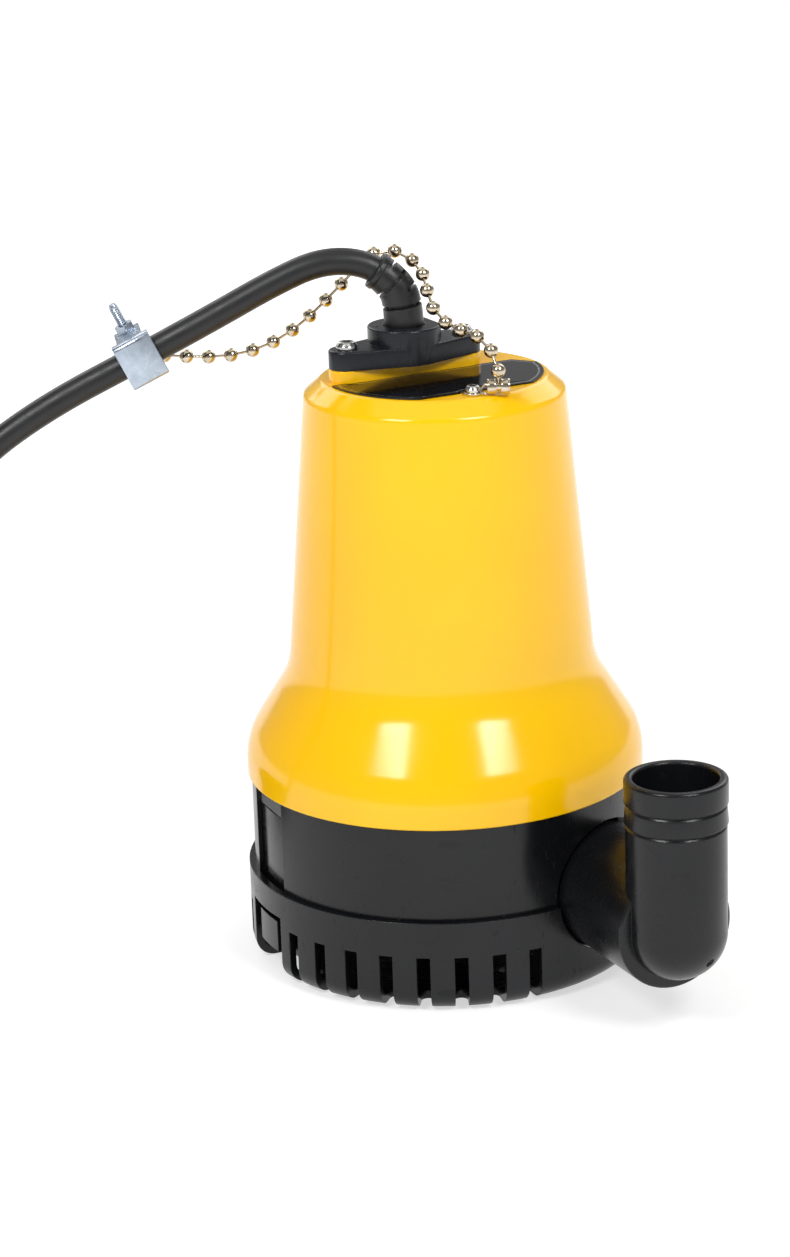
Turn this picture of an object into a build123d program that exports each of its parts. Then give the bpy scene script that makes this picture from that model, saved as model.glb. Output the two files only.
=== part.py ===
from build123d import *
import math
import os

# Submersible bilge pump: strainer base, pump casing with a swivelling outlet
# elbow, tapered motor housing, cable gland with bend relief, ball chain and cable.
# Millimetres. +Z is up along the motor shaft, the origin is on that axis at the
# base plane, and azimuths are degrees about +Z from +X.

# ---- driving dimensions ---------------------------------------------------
RUN = 0.05                 # running clearance, radial
FREE = 0.3                 # free clearance between neighbours

# strainer base
BASE_H = 27.7              # height of the seam with the casing
BASE_R = 60.3
BASE_WALL = 2.3
BASE_FLOOR = 2.5
BASE_EDGE_R = 6.0          # rounding of the lower outside edge
SLOT_PITCH = 360 / 34
SLOT_W = 4.0
SLOT_TOP = 17.0
SLOT_INNER_R = 49.8
SLOT_FIRST_AZ = 219.8
SLOT_SKIP = (8, 9, 10, 11, 15, 16, 32, 33)
LATCH_AZ = (203.9, 23.9)
WINDOW_W = 20.5
WINDOW_TOP = 20.0
WINDOW_INNER_R = 48.5
WINDOW_CORNER_R = 3.5
MOUNT_PCD = 77.0
MOUNT_HOLE_R = 2.25
MOUNT_AZ = 24.0
DIMPLE_PCD = 40.0
DIMPLE_R = 2.6

# casing
CASE_TOP = 55.9            # height of the seam with the yellow housing
CASE_R = 58.4
CASE_WALL = 2.6
LIP_H = 1.5
PLATE_T = 3.0
FLANGE_T = 4.0
FLANGE_IN_R = 45.5
RECESS_DEPTH = 1.6

# pump chamber
OUTLET_AZ = -64.0          # direction of the outlet stub
OUTLET_OFFSET = 25.5       # distance of the stub's axis from the shaft
OUTLET_Z = 29.5
OUTLET_REACH = 94.0        # shaft to tube axis, along the stub
OUTLET_BORE_R = 12.15
CHAMBER_R = 34.8
CHAMBER_SHIFT = 3.0        # the chamber is eccentric, towards the outlet side
CHAMBER_WALL = 2.8
CHAMBER_H = 23.0
EYE_R = 13.0

# outlet elbow
STUB_R = 15.2
SOCKET_R = 18.2
SOCKET_LEN = 44.0
SOCKET_DEPTH = 28.0        # how far the stub reaches into the socket
TUBE_R = 14.45
BARB_R = TUBE_R + 0.35
BARB_H = 6.6
TUBE_TOP = 75.5
ORING_SEC = 1.0

# motor housing
HOUSING_R = 59.5
HOUSING_WALL = 2.2
SKIRT_H = 4.1              # straight part above the seam
FLARE_R1 = 21.0
FLARE_R2 = 22.0
FLARE_ANGLE = 32.0
FLARE_LINE = 14.7          # length of the straight cone between the two arcs
TAPER_ANGLE = 5.0
SHOULDER_DROP = 4.4        # the shoulder lies this far below the flat top
TOP_Z = 175.6
TOP_R = 33.2
TOP_WALL = 2.6
RIM_R = 2.2                # rounding of the shoulder and of the top's rim

# gland on top
GLAND_X, GLAND_Y = -8.3, 3.5
GLAND_AZ = 27.5
PEDESTAL_H = 4.0
GLAND_T = 5.5
GLAND_SCREW_PITCH = 37.8
GLAND_END_R = 5.4
BOSS_R = 10.8
BOSS_H = 4.9
CABLE_R = 4.0
SLEEVE_R = 5.9
SLEEVE_GAP = 0.15

# motor
SHAFT_R = 3.0
CAN_R = 33.0
CAN_T = 1.6
CAN_H = 88.0
BEARING_R = 6.0
SEAL_R = 9.0
CORE_R = 24.4
CORE_H = 40.0
CORE_SLOTS = 8
COMM_R = 9.0
COMM_H = 14.0
MAGNET_T = 5.4
IMPELLER_R = 27.5
IMPELLER_BLADES = 6

# chain
BEAD_R = 2.1
BEAD_PITCH = 6.45
LINK_R = 0.45
EYELET_XY = (10.8, -26.5)
COUPLING_RISE = 2.5        # the coupling's axis above the housing's flat top

# coil of put-away cable
COIL_X, COIL_Y = -206.0, 56.0
COIL_RADII = (33.0, 41.0, 49.0)
COIL_LIFT = 0.8            # the ties under the coil hold it this far off the floor
TIE_W = 9.0
TIE_T = 0.8
TIE_AZ = (225.0, 356.0)
TOP_TURN_RADII = (37.0, 45.0)
END_AZ = 10.0              # the inner top turn ends here, and starts a quarter turn on
CORE_WIRE_R = 1.3
CORE_SPREAD = 1.6          # each stripped core's distance from the cable's own line
CORE_STEP = 10.0           # degrees from one point of a stripped core to the next
CORE_DROOP = (0.0, 0.8, 1.6, 2.3)

# ---- values worked out from them ------------------------------------------
CHAMBER_Z0 = OUTLET_Z - CHAMBER_H / 2
CHAMBER_Z1 = OUTLET_Z + CHAMBER_H / 2
BULKHEAD_Z = CASE_TOP
BULKHEAD_T = 6.5
CAN_Z = BULKHEAD_Z + BULKHEAD_T + 0.2
SHOULDER_Z = TOP_Z - SHOULDER_DROP
COUPLING_Z = TOP_Z + COUPLING_RISE
HUB_R = 12.0
SHAFT_BOTTOM = CHAMBER_Z0 + 0.5
SHAFT_TOP = CAN_Z + CAN_H + 3.0
CORE_Z = CAN_Z + 16.0
COMM_Z = CORE_Z + CORE_H + 9.0
BRUSH_Z = COMM_Z + 2.0
BRUSH_H = 8.0
SCREW_RING_R = 50.0
SCREW_AZ = [LATCH_AZ[0] + 45 + 90 * i for i in range(4)]
GLAND_BASE = TOP_Z + PEDESTAL_H
BOSS_TOP = GLAND_BASE + GLAND_T + BOSS_H

# the cable's route, from the boss to the coil, as corners of straight runs
CABLE_ROUTE = [
    (GLAND_X, GLAND_Y, BOSS_TOP - 2.0), (GLAND_X, GLAND_Y, TOP_Z + 20.9),
    (-10.9, 3.5, TOP_Z + 26.8), (-18.9, 3.4, TOP_Z + 33.0), (-32.0, 2.4, TOP_Z + 34.0),
    (-46.0, 0.7, TOP_Z + 28.2), (-62.0, -1.8, TOP_Z + 20.0), (-85.0, -5.0, TOP_Z + 8.7),
    (-112.0, -9.0, TOP_Z - 4.0), (-133.5, -13.0, 157.5), (-151.0, -18.0, 137.0),
    (-162.0, -22.0, 112.0), (-166.5, -23.0, 84.0), (-167.5, -20.0, 55.5), (-166.5, -11.0, 29.5),
    (-164.0, 6.5, 12.0), (-159.5, 31.0, 5.0), (COIL_X + COIL_RADII[-1], COIL_Y, 4.8),
]
SLEEVE_CORNERS = 3         # the sleeve follows the route past this many points
SLEEVE_TAIL = 4.6          # and ends this far along the run after them

# the ball chain's route, from the coupling on the housing to the cable clamp
CHAIN_ROUTE = [
    (18.1, -28.2, TOP_Z + 7.1), (16.6, -24.8, TOP_Z + 11.6), (13.3, -21.0, TOP_Z + 15.0),
    (9.5, -17.0, TOP_Z + 16.1), (5.6, -13.0, TOP_Z + 16.7), (2.4, -9.0, TOP_Z + 18.6),
    (-0.4, -5.0, TOP_Z + 22.2), (-1.8, 1.5, TOP_Z + 27.4), (-4.8, 8.0, TOP_Z + 31.6),
    (-10.4, 12.2, TOP_Z + 34.3), (-15.6, 13.8, TOP_Z + 33.8), (-20.9, 14.0, TOP_Z + 30.0),
    (-25.7, 14.0, TOP_Z + 25.3), (-34.6, 13.2, TOP_Z + 16.8), (-45.1, 11.4, TOP_Z + 9.4),
    (-57.3, 9.4, TOP_Z + 5.6), (-70.1, 6.6, TOP_Z + 5.8), (-78.5, 4.2, TOP_Z + 7.0),
]
CLAMP_POINT = 7            # the clamp sits on the cable at this point of its route
CLAMP_LEN = 11.5           # along the cable
CLAMP_TALL = 14.0          # across the cable, up and down
CLAMP_T = 1.2
CLAMP_GAP = 0.3            # the front plate stands off the cable by this much
CLAMP_LEG = 11.0           # how far the two legs reach behind the cable's middle
CLAMP_LEG_W = 8.0
CLAMP_SCREW_Y = 8.0        # the screw passes behind the cable
CLAMP_SCREW_R = 1.5
CLAMP_SCREW_LEN = 23.0


# ---- small helpers ---------------------------------------------------------
def save(solids, node):
    """Write one node's solids to its own STEP file."""
    if isinstance(solids, list):
        solids = Compound(children=solids)
    export_step(solids, "parts/" + node + ".step")


def post(r, z0, z1, x=0.0, y=0.0):
    """An upright cylinder between two heights."""
    return Pos(x, y, z0) * Cylinder(r, z1 - z0, align=(Align.CENTER, Align.CENTER, Align.MIN))


def ring(r_out, r_in, z0, z1, x=0.0, y=0.0):
    """An upright tube between two heights."""
    return post(r_out, z0, z1, x, y) - post(r_in, z0 - 1, z1 + 1, x, y)


def block(x0, x1, y0, y1, z0, z1):
    """A box given by its two corners."""
    size = Box(x1 - x0, y1 - y0, z1 - z0)
    return Pos((x0 + x1) / 2, (y0 + y1) / 2, (z0 + z1) / 2) * size


def around(azimuth):
    """Turn about the shaft."""
    return Rot(0, 0, azimuth)


def at_outlet(shape):
    """Place a shape drawn with +X along the stub and its axis at the outlet."""
    return around(OUTLET_AZ) * Pos(0, OUTLET_OFFSET, OUTLET_Z) * shape


def rod(r, x0, x1):
    """A cylinder along X."""
    along = Rot(0, 90, 0) * Cylinder(r, x1 - x0, align=(Align.CENTER, Align.CENTER, Align.MIN))
    return Pos(x0, 0, 0) * along


def o_ring(major, minor, z):
    """An upright-axis O-ring."""
    return Pos(0, 0, z) * Torus(major, minor)


def pan_screw(head_r, head_h, shank_r, length):
    """A cross-recessed pan screw, head up, with the head's seat at z = 0."""
    head = post(head_r, 0, head_h)
    head = fillet(head.edges().group_by(Axis.Z)[-1], head_h * 0.45)
    slot = block(-head_r * 0.55, head_r * 0.55, -0.45, 0.45, head_h - 0.9, head_h + 1)
    return head + post(shank_r, -length, 0.01) - slot - Rot(0, 0, 90) * slot


def pitch_points(count, radius, start):
    """Points on a circle."""
    angles = [math.radians(start + 360 * i / count) for i in range(count)]
    return [(radius * math.cos(a), radius * math.sin(a)) for a in angles]


def run_radii(points, share=0.45):
    """The corner radii that the runs of a route allow."""
    radii = []
    for a, b, c in zip(points, points[1:], points[2:]):
        turn = math.radians((b - a).get_angle(c - b))
        radii.append(share * min((b - a).length, (c - b).length) / math.tan(turn / 2))
    return radii


def tube_along(points, radii, radius):
    """A round tube along straight runs joined by tangent arcs."""
    path = FilletPolyline(*points, radius=radii)
    start = Plane(origin=path @ 0, z_dir=path % 0)
    return sweep(start * Circle(radius), path=path), path


# ---- strainer base ---------------------------------------------------------
def strainer_base():
    shell = post(BASE_R, 0, BASE_H)
    shell = fillet(shell.edges().group_by(Axis.Z)[0], BASE_EDGE_R)
    inner = post(BASE_R - BASE_WALL, BASE_FLOOR, BASE_H + 1)
    inner = fillet(inner.edges().group_by(Axis.Z)[0], BASE_EDGE_R - BASE_WALL)
    shell -= inner
    centre_r = SLOT_INNER_R + SLOT_W / 2
    slot = block(centre_r, BASE_R + 2, -SLOT_W / 2, SLOT_W / 2, -1, SLOT_TOP)
    slot += post(SLOT_W / 2, -1, BASE_FLOOR + 1, centre_r, 0)
    cuts = []
    for i in range(34):
        if i not in SLOT_SKIP:
            cuts.append(around(SLOT_FIRST_AZ + SLOT_PITCH * i) * slot)
    window = block(WINDOW_INNER_R, BASE_R + 2, -WINDOW_W / 2, WINDOW_W / 2, -1, WINDOW_TOP)
    window = fillet(window.edges().filter_by(Axis.Z).group_by(Axis.X)[0], WINDOW_CORNER_R)
    for azimuth in LATCH_AZ:
        cuts.append(around(azimuth) * window)
    for x, y in pitch_points(4, MOUNT_PCD / 2, MOUNT_AZ):
        cuts.append(post(MOUNT_HOLE_R, -1, BASE_FLOOR + 1, x, y))
    for x, y in pitch_points(3, DIMPLE_PCD / 2, 0):
        cuts.append(post(DIMPLE_R, -1, 0.7, x, y))
    cuts.append(at_outlet(rod(SOCKET_R + 0.9, 30, BASE_R + 10)))
    base = shell - cuts
    domes = [post(DIMPLE_R * 0.5, 0.2, 0.8, x, y) for x, y in pitch_points(3, DIMPLE_PCD / 2, 0)]
    return base + domes


# ---- pump casing -----------------------------------------------------------
def chamber_centre():
    angle = math.radians(OUTLET_AZ + 90)
    return CHAMBER_SHIFT * math.cos(angle), CHAMBER_SHIFT * math.sin(angle)


def latch_opening():
    """The opening in the casing that one release tab sits in, drawn on +X."""
    half = WINDOW_W / 2 - 0.6
    recess = block(CASE_R - RECESS_DEPTH, CASE_R + 2, -half, half, 0, CASE_TOP + 1)
    through = block(50.5, CASE_R + 2, -half, half, 15, CASE_TOP - FLANGE_T - 1.5)
    return recess + through


def volute_casing():
    cx, cy = chamber_centre()
    band = ring(CASE_R, CASE_R - CASE_WALL, BASE_H, CASE_TOP)
    lower_lip = ring(BASE_R - BASE_WALL - FREE, CASE_R - CASE_WALL, BASE_H - 5.5, BASE_H)
    inner_r = HOUSING_R - HOUSING_WALL
    upper_lip = ring(inner_r - FREE, inner_r - 2.4, CASE_TOP, CASE_TOP + LIP_H)
    plate = ring(CASE_R - 1, HUB_R + RUN, CHAMBER_Z1, CHAMBER_Z1 + PLATE_T)
    flange = ring(CASE_R - 1, FLANGE_IN_R, CASE_TOP - FLANGE_T, CASE_TOP)
    wall = ring(CHAMBER_R + CHAMBER_WALL, CHAMBER_R, CHAMBER_Z0, CHAMBER_Z1 + 0.5, cx, cy)
    body = band + lower_lip + upper_lip + plate + flange + wall
    body += cover_ears()
    body -= at_outlet(rod(SOCKET_R + 0.9, 44, BASE_R + 10))
    stub_len = OUTLET_REACH - SOCKET_LEN + SOCKET_DEPTH
    stub = at_outlet(rod(STUB_R, 8, stub_len)) - post(CHAMBER_R, 0, 60, cx, cy)
    body += stub - post(CHAMBER_R + CHAMBER_WALL + FREE, 0, CHAMBER_Z0, cx, cy)
    body -= at_outlet(rod(OUTLET_BORE_R, 8, stub_len + 1))
    body -= at_outlet(Pos(stub_len - 8, 0, 0) * Rot(0, 90, 0) * seal_groove())
    cuts = [around(azimuth) * latch_opening() for azimuth in LATCH_AZ]
    for azimuth in SCREW_AZ:
        cuts.append(around(azimuth) * post(2.3, CASE_TOP - FLANGE_T - 1, CASE_TOP + 1, SCREW_RING_R, 0))
    return body - cuts


def seal_groove():
    """The groove that holds the outlet's O-ring, drawn about Z."""
    groove = ring(STUB_R + 1, STUB_R - 2 * ORING_SEC, -ORING_SEC - 0.1, ORING_SEC + 0.1)
    return groove


def ear_points():
    cx, cy = chamber_centre()
    reach = CHAMBER_R + CHAMBER_WALL + 1.5
    return [(cx + x, cy + y) for x, y in pitch_points(3, reach, 60)]


def cover_ears():
    ears = [post(4.2, CHAMBER_Z0, CHAMBER_Z0 + 14, x, y) for x, y in ear_points()]
    cx, cy = chamber_centre()
    inside = post(CHAMBER_R, 0, 60, cx, cy)
    holes = [post(1.55, 0, CHAMBER_Z0 + 12, x, y) for x, y in ear_points()]
    return Part() + ears - inside - holes


def inlet_cover():
    cx, cy = chamber_centre()
    top = CHAMBER_Z0 - 0.05
    cover = post(CHAMBER_R + CHAMBER_WALL, top - PLATE_T, top, cx, cy)
    cover += [post(4.2, top - PLATE_T, top, x, y) for x, y in ear_points()]
    cover += ring(EYE_R + 2, EYE_R, top - PLATE_T - 2.5, top - PLATE_T)
    return cover - post(EYE_R, 0, 60) - [post(1.7, 0, 60, x, y) for x, y in ear_points()]


def inlet_cover_screws():
    seat = CHAMBER_Z0 - PLATE_T - 0.1
    screw = Rot(180, 0, 0) * pan_screw(2.9, 2.2, 1.5, 12)
    return [Pos(x, y, seat) * screw for x, y in ear_points()]


def release_tab(azimuth):
    """A flexing tab whose tongue catches in the strainer's window."""
    half = WINDOW_W / 2 - 1.2
    outer = CASE_R - RECESS_DEPTH
    top = CASE_TOP - FLANGE_T - 2.0
    plate = ring(outer, outer - 2.2, 9, top)
    plate &= block(40, 70, -half, half, 0, 60)
    notch = block(50, 60, half - 3.4, half + 1, BASE_H - 2, BASE_H + 2.4)
    plate -= notch
    plate -= mirror(notch, about=Plane.XZ)
    tongue = ring(BASE_R - 0.9, outer - 2.2, 8, 17.6) & block(40, 70, -6.5, 6.5, 0, 60)
    return around(azimuth) * (plate + tongue)


def casing_screws():
    screw = Rot(180, 0, 0) * pan_screw(3.6, 2.6, 2.0, 20)
    seat = CASE_TOP - FLANGE_T - 0.05
    return [around(azimuth) * Pos(SCREW_RING_R, 0, seat) * screw for azimuth in SCREW_AZ]


# ---- outlet elbow ----------------------------------------------------------
def outlet_elbow():
    """Drawn with the tube's axis at the origin, up +Z, and the socket along -X."""
    top = TUBE_TOP - OUTLET_Z
    socket = rod(SOCKET_R, -SOCKET_LEN, 0)
    socket = chamfer(socket.edges().group_by(Axis.X)[-1], 0.8)
    tube = post(TUBE_R, 0, top) + Sphere(TUBE_R)
    for i in range(2):
        high = top - i * BARB_H
        barb = Pos(0, 0, high - BARB_H) * Cone(
            BARB_R, TUBE_R, BARB_H, align=(Align.CENTER, Align.CENTER, Align.MIN))
        tube += barb
    tube = fillet(tube.edges().group_by(Axis.Z)[-1], 1.1)
    elbow = socket + tube
    elbow -= post(OUTLET_BORE_R, 0, top + 1)
    elbow -= Sphere(OUTLET_BORE_R)
    elbow -= rod(OUTLET_BORE_R, -SOCKET_LEN - 1, 0)
    elbow -= rod(STUB_R + RUN, -SOCKET_LEN - 1, -SOCKET_LEN + SOCKET_DEPTH + 0.4)
    gate = Pos(8.5, -9.5, -6.6) * Sphere(1.6)
    elbow -= gate
    return at_outlet(Pos(OUTLET_REACH, 0, 0) * elbow)


def outlet_seal():
    ring_seal = Rot(0, 90, 0) * Torus(STUB_R - ORING_SEC + 0.02, ORING_SEC - 0.05)
    stub_len = OUTLET_REACH - SOCKET_LEN + SOCKET_DEPTH
    return at_outlet(Pos(stub_len - 8, 0, 0) * ring_seal)


# ---- bulkhead and seals ----------------------------------------------------
def bulkhead():
    inner_r = HOUSING_R - HOUSING_WALL
    z0 = BULKHEAD_Z
    body = post(inner_r - 3.0, z0 + 0.05, z0 + LIP_H + 0.3)
    body += post(inner_r - FREE, z0 + LIP_H + 0.2, z0 + BULKHEAD_T)
    body -= ring(inner_r + 1, inner_r - 2.1, z0 + 3.0, z0 + 5.4)
    body += post(HUB_R, CHAMBER_Z1, z0 + 1)
    body += ring(CAN_R + 3.0, CAN_R + 0.1, z0 + BULKHEAD_T - 0.5, z0 + BULKHEAD_T + 4)
    body -= post(SEAL_R, CHAMBER_Z1 - 1, CHAMBER_Z1 + 8)
    body -= post(SHAFT_R + 0.6, CHAMBER_Z1, z0 + 20)
    for azimuth in SCREW_AZ:
        body -= around(azimuth) * post(2.3, z0 - 1, z0 + 20, SCREW_RING_R, 0)
    return body


def bulkhead_seal():
    inner_r = HOUSING_R - HOUSING_WALL
    return o_ring(inner_r - 1.08, 1.0, BULKHEAD_Z + 4.2)


def shaft_seal():
    seal = ring(SEAL_R - 0.02, SHAFT_R + 2.2, CHAMBER_Z1 + 1.0, CHAMBER_Z1 + 7.9)
    seal += ring(SHAFT_R + 2.4, SHAFT_R + RUN, CHAMBER_Z1 + 3.0, CHAMBER_Z1 + 4.4)
    return seal


# ---- motor housing ---------------------------------------------------------
def housing_profile(inset, z_low, z_top):
    """Half section of the housing's outside, moved inwards by inset."""
    r0 = HOUSING_R - inset
    z1 = CASE_TOP + SKIRT_H
    flare = math.radians(FLARE_ANGLE)
    taper = math.radians(TAPER_ANGLE)
    arc1 = FLARE_R1 - inset
    arc2 = FLARE_R2 + inset
    r2 = r0 - arc1 * (1 - math.cos(flare))
    z2 = z1 + arc1 * math.sin(flare)
    r3 = r2 - FLARE_LINE * math.sin(flare)
    z3 = z2 + FLARE_LINE * math.cos(flare)
    r4 = r3 - arc2 * (math.cos(taper) - math.cos(flare))
    z4 = z3 + arc2 * (math.sin(flare) - math.sin(taper))
    z5 = SHOULDER_Z
    r5 = r4 - (z5 - z4) * math.tan(taper)
    top_r = TOP_R - inset * 0.6
    lines = Curve() + [
        Line((0, z_low), (r0, z_low)),
        Line((r0, z_low), (r0, z1)),
        TangentArc((r0, z1), (r2, z2), tangent=(0, 1)),
        Line((r2, z2), (r3, z3)),
        TangentArc((r3, z3), (r4, z4), tangent=(-math.sin(flare), math.cos(flare))),
        Line((r4, z4), (r5, z5)),
        Line((r5, z5), (top_r, z_top)),
        Line((top_r, z_top), (0, z_top)),
        Line((0, z_top), (0, z_low)),
    ]
    return make_face(Plane.XZ * lines)


def pedestal_outline(grow=0.0):
    """The raised seat of the gland: straight in front, bulged behind."""
    reach = GLAND_SCREW_PITCH / 2
    stadium = SlotCenterToCenter(GLAND_SCREW_PITCH, 2 * (GLAND_END_R + grow))
    bulge = Circle(BOSS_R + grow) & Pos(0, BOSS_R / 2 + 1) * Rectangle(2 * reach, BOSS_R + 2)
    return stadium + bulge


def at_gland(shape):
    return Pos(GLAND_X, GLAND_Y, 0) * around(GLAND_AZ) * shape


def motor_housing():
    outer = revolve(housing_profile(0, CASE_TOP, TOP_Z), Axis.Z)
    rims = outer.edges().filter_by(lambda e: e.center().Z > SHOULDER_Z - 1)
    outer = fillet(rims, RIM_R)
    inside = housing_profile(HOUSING_WALL, CASE_TOP - 1, TOP_Z - TOP_WALL)
    shell = outer - revolve(inside, Axis.Z)
    shell += at_gland(extrude(Pos(0, 0, TOP_Z - 1) * pedestal_outline(), PEDESTAL_H + 1))
    for azimuth in SCREW_AZ:
        boss = post(4.6, BULKHEAD_Z + BULKHEAD_T + 0.1, 84, SCREW_RING_R, 0)
        boss += block(SCREW_RING_R, 58, -1.2, 1.2, BULKHEAD_Z + BULKHEAD_T + 0.1, 84)
        shell += around(azimuth) * boss & outer
    for azimuth in SCREW_AZ:
        shell -= around(azimuth) * post(2.05, 50, 76, SCREW_RING_R, 0)
    shell -= at_gland(post(CABLE_R + 0.3, TOP_Z - 10, GLAND_BASE + 1))
    for side in (-1, 1):
        shell -= at_gland(post(1.75, TOP_Z - 6, GLAND_BASE + 1, side * GLAND_SCREW_PITCH / 2, 0))
    eyelet_x, eyelet_y = EYELET_XY
    shell -= post(1.25, TOP_Z - 6, TOP_Z + 1, eyelet_x, eyelet_y)
    return shell


def nameplate():
    """A thin plate with two parallel straight edges between two arcs."""
    front, back, radius = 26.2, 2.2, 32.0
    plate = Circle(radius) & Pos(0, (back - front) / 2) * Rectangle(2 * radius, front + back)
    plate -= Pos(radius - 0.6, back) * Rot(0, 0, 58) * Rectangle(12, 5)
    plate = around(GLAND_AZ - 0.6) * plate
    thin = extrude(Pos(0, 0, TOP_Z + 0.02) * plate, 0.45)
    keep_out = extrude(Pos(0, 0, TOP_Z - 1) * pedestal_outline(0.15), 5)
    return thin - at_gland(keep_out) - post(3.6, TOP_Z - 1, TOP_Z + 2, *EYELET_XY)


# ---- gland -----------------------------------------------------------------
def gland_flange():
    reach = GLAND_SCREW_PITCH / 2
    ends = [Pos(side * reach, 0) * Circle(GLAND_END_R) for side in (-1, 1)]
    outline = make_hull((Sketch() + ends + Circle(BOSS_R)).edges())
    flange = extrude(Pos(0, 0, GLAND_BASE + 0.02) * outline, GLAND_T - 0.02)
    flange += post(BOSS_R, GLAND_BASE + 1, BOSS_TOP)
    flange -= block(BOSS_R - 1.6, BOSS_R + 1, -6, 6, GLAND_BASE + GLAND_T, BOSS_TOP + 1)
    flange -= post(SLEEVE_R + 0.05, GLAND_BASE + 3, BOSS_TOP + 1)
    flange -= post(CABLE_R + 0.3, GLAND_BASE - 1, BOSS_TOP)
    flange -= ring(GLAND_END_R, CABLE_R + 0.3, GLAND_BASE - 1, GLAND_BASE + 1.0)
    for side in (-1, 1):
        flange -= post(1.9, GLAND_BASE - 1, BOSS_TOP, side * reach, 0)
    return at_gland(flange)


def gland_seal():
    return Pos(GLAND_X, GLAND_Y, GLAND_BASE + 0.5) * Torus(CABLE_R + 0.83, 0.48)


def cable_bush():
    """The rubber bush that grips the cable under the housing's top."""
    return ring(9.5, CABLE_R + 0.02, TOP_Z - 9, TOP_Z - 2.7, GLAND_X, GLAND_Y)


def cable_inner_end():
    """The straight end of the cable inside the gland, where its leads come out."""
    return post(CABLE_R, TOP_Z - 10, BOSS_TOP - 2.0, GLAND_X, GLAND_Y)


def gland_screws():
    screw = Pos(0, 0, GLAND_BASE + GLAND_T + 0.02) * pan_screw(3.15, 2.2, 1.65, 10)
    return [at_gland(Pos(side * GLAND_SCREW_PITCH / 2, 0, 0) * screw) for side in (-1, 1)]


def route_start():
    """The route's points along the sleeve, and where the sleeve ends."""
    points = [Vector(*p) for p in CABLE_ROUTE]
    before = points[SLEEVE_CORNERS - 1]
    after = points[SLEEVE_CORNERS]
    end = before + (after - before).normalized() * SLEEVE_TAIL
    return points[:SLEEVE_CORNERS] + [end]


def strain_relief():
    """The bent sleeve round the cable, on the same runs and arcs as the cable."""
    points = route_start()
    radii = run_radii([Vector(*p) for p in CABLE_ROUTE])[:SLEEVE_CORNERS - 1]
    low = Vector(GLAND_X, GLAND_Y, GLAND_BASE + 3.1)
    points[0] = low
    outer, _ = tube_along(points, radii, SLEEVE_R)
    bore, _ = tube_along(points, radii, CABLE_R + SLEEVE_GAP)
    return outer - bore


# ---- motor -----------------------------------------------------------------
def motor_can():
    top = CAN_Z + CAN_H
    can = ring(CAN_R, CAN_R - CAN_T, CAN_Z, top)
    can += ring(CAN_R, BEARING_R + RUN, top - CAN_T, top)
    can += ring(BEARING_R + 2.5, BEARING_R + RUN, top - CAN_T, top + 4)
    for side in (-1, 1):
        can -= post(2.2, top - 5, top + 1, 0, side * 20)
    return can


def motor_end_plate():
    plate = ring(CAN_R - CAN_T - RUN, BEARING_R + RUN, CAN_Z + 0.1, CAN_Z + 3)
    return plate + ring(BEARING_R + 2.5, BEARING_R + RUN, CAN_Z + 0.1, CAN_Z + 7)


def bearing(z0, z1):
    return ring(BEARING_R, SHAFT_R + RUN, z0, z1)


def magnets():
    outer = CAN_R - CAN_T - RUN
    arc = ring(outer, outer - MAGNET_T, CORE_Z - 4, CORE_Z + CORE_H + 4)
    return [arc & block(10, 40, -27, 27, 0, 200), arc & block(-40, -10, -27, 27, 0, 200)]


def brush_plate():
    plate = ring(CAN_R - CAN_T - RUN, COMM_R + 2.5, BRUSH_Z + BRUSH_H + 0.2, BRUSH_Z + BRUSH_H + 2.4)
    for side in (0, 180):
        cheeks = block(COMM_R + 2, 24, -5.2, 5.2, BRUSH_Z - 1, BRUSH_Z + BRUSH_H + 0.5)
        cheeks -= block(COMM_R, 26, -3.6, 3.6, BRUSH_Z - 3, BRUSH_Z + BRUSH_H + 0.2)
        plate += around(side) * cheeks
    return plate


def brushes():
    """Two carbon blocks, hollowed to the commutator's round."""
    one = block(COMM_R - 2, 20, -3.5, 3.5, BRUSH_Z, BRUSH_Z + BRUSH_H) - post(COMM_R + RUN, 0, 200)
    return [around(side) * one for side in (0, 180)]


def lead_wires():
    """Two insulated leads from the brush plate up to the cable's end."""
    leads = []
    start_z = BRUSH_Z + BRUSH_H + 2.5
    end_z = TOP_Z - 10.1
    for side, y in ((-1, -20.0), (1, 20.0)):
        end = Vector(GLAND_X, GLAND_Y + side * 1.7, end_z)
        points = [Vector(0, y, start_z), Vector(0, y, CAN_Z + CAN_H + 5),
                  Vector(GLAND_X, GLAND_Y + side * 1.7, end_z - 5), end]
        radii = [min(3.0, r) for r in run_radii(points)]
        leads.append(tube_along(points, radii, 1.2)[0])
    return leads


def motor_shaft():
    return post(SHAFT_R, SHAFT_BOTTOM, SHAFT_TOP)


def armature_core():
    core = ring(CORE_R, SHAFT_R, CORE_Z, CORE_Z + CORE_H)
    slot = post(4.2, CORE_Z - 1, CORE_Z + CORE_H + 1, CORE_R - 7.5, 0)
    slot += block(CORE_R - 6, CORE_R + 1, -1.2, 1.2, CORE_Z - 1, CORE_Z + CORE_H + 1)
    return core - [around(360 / CORE_SLOTS * i) * slot for i in range(CORE_SLOTS)]


def armature_windings():
    """Copper through the core's slots, joined by the end turns."""
    low, high = CORE_Z, CORE_Z + CORE_H
    coil = ring(CORE_R - 2.5, 8, low - 7, low - 0.1) + ring(CORE_R - 2.5, 8, high + 0.1, high + 7)
    bar = post(4.0, low - 1, high + 1, CORE_R - 7.5, 0)
    return coil + [around(360 / CORE_SLOTS * i) * bar for i in range(CORE_SLOTS)]


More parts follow.
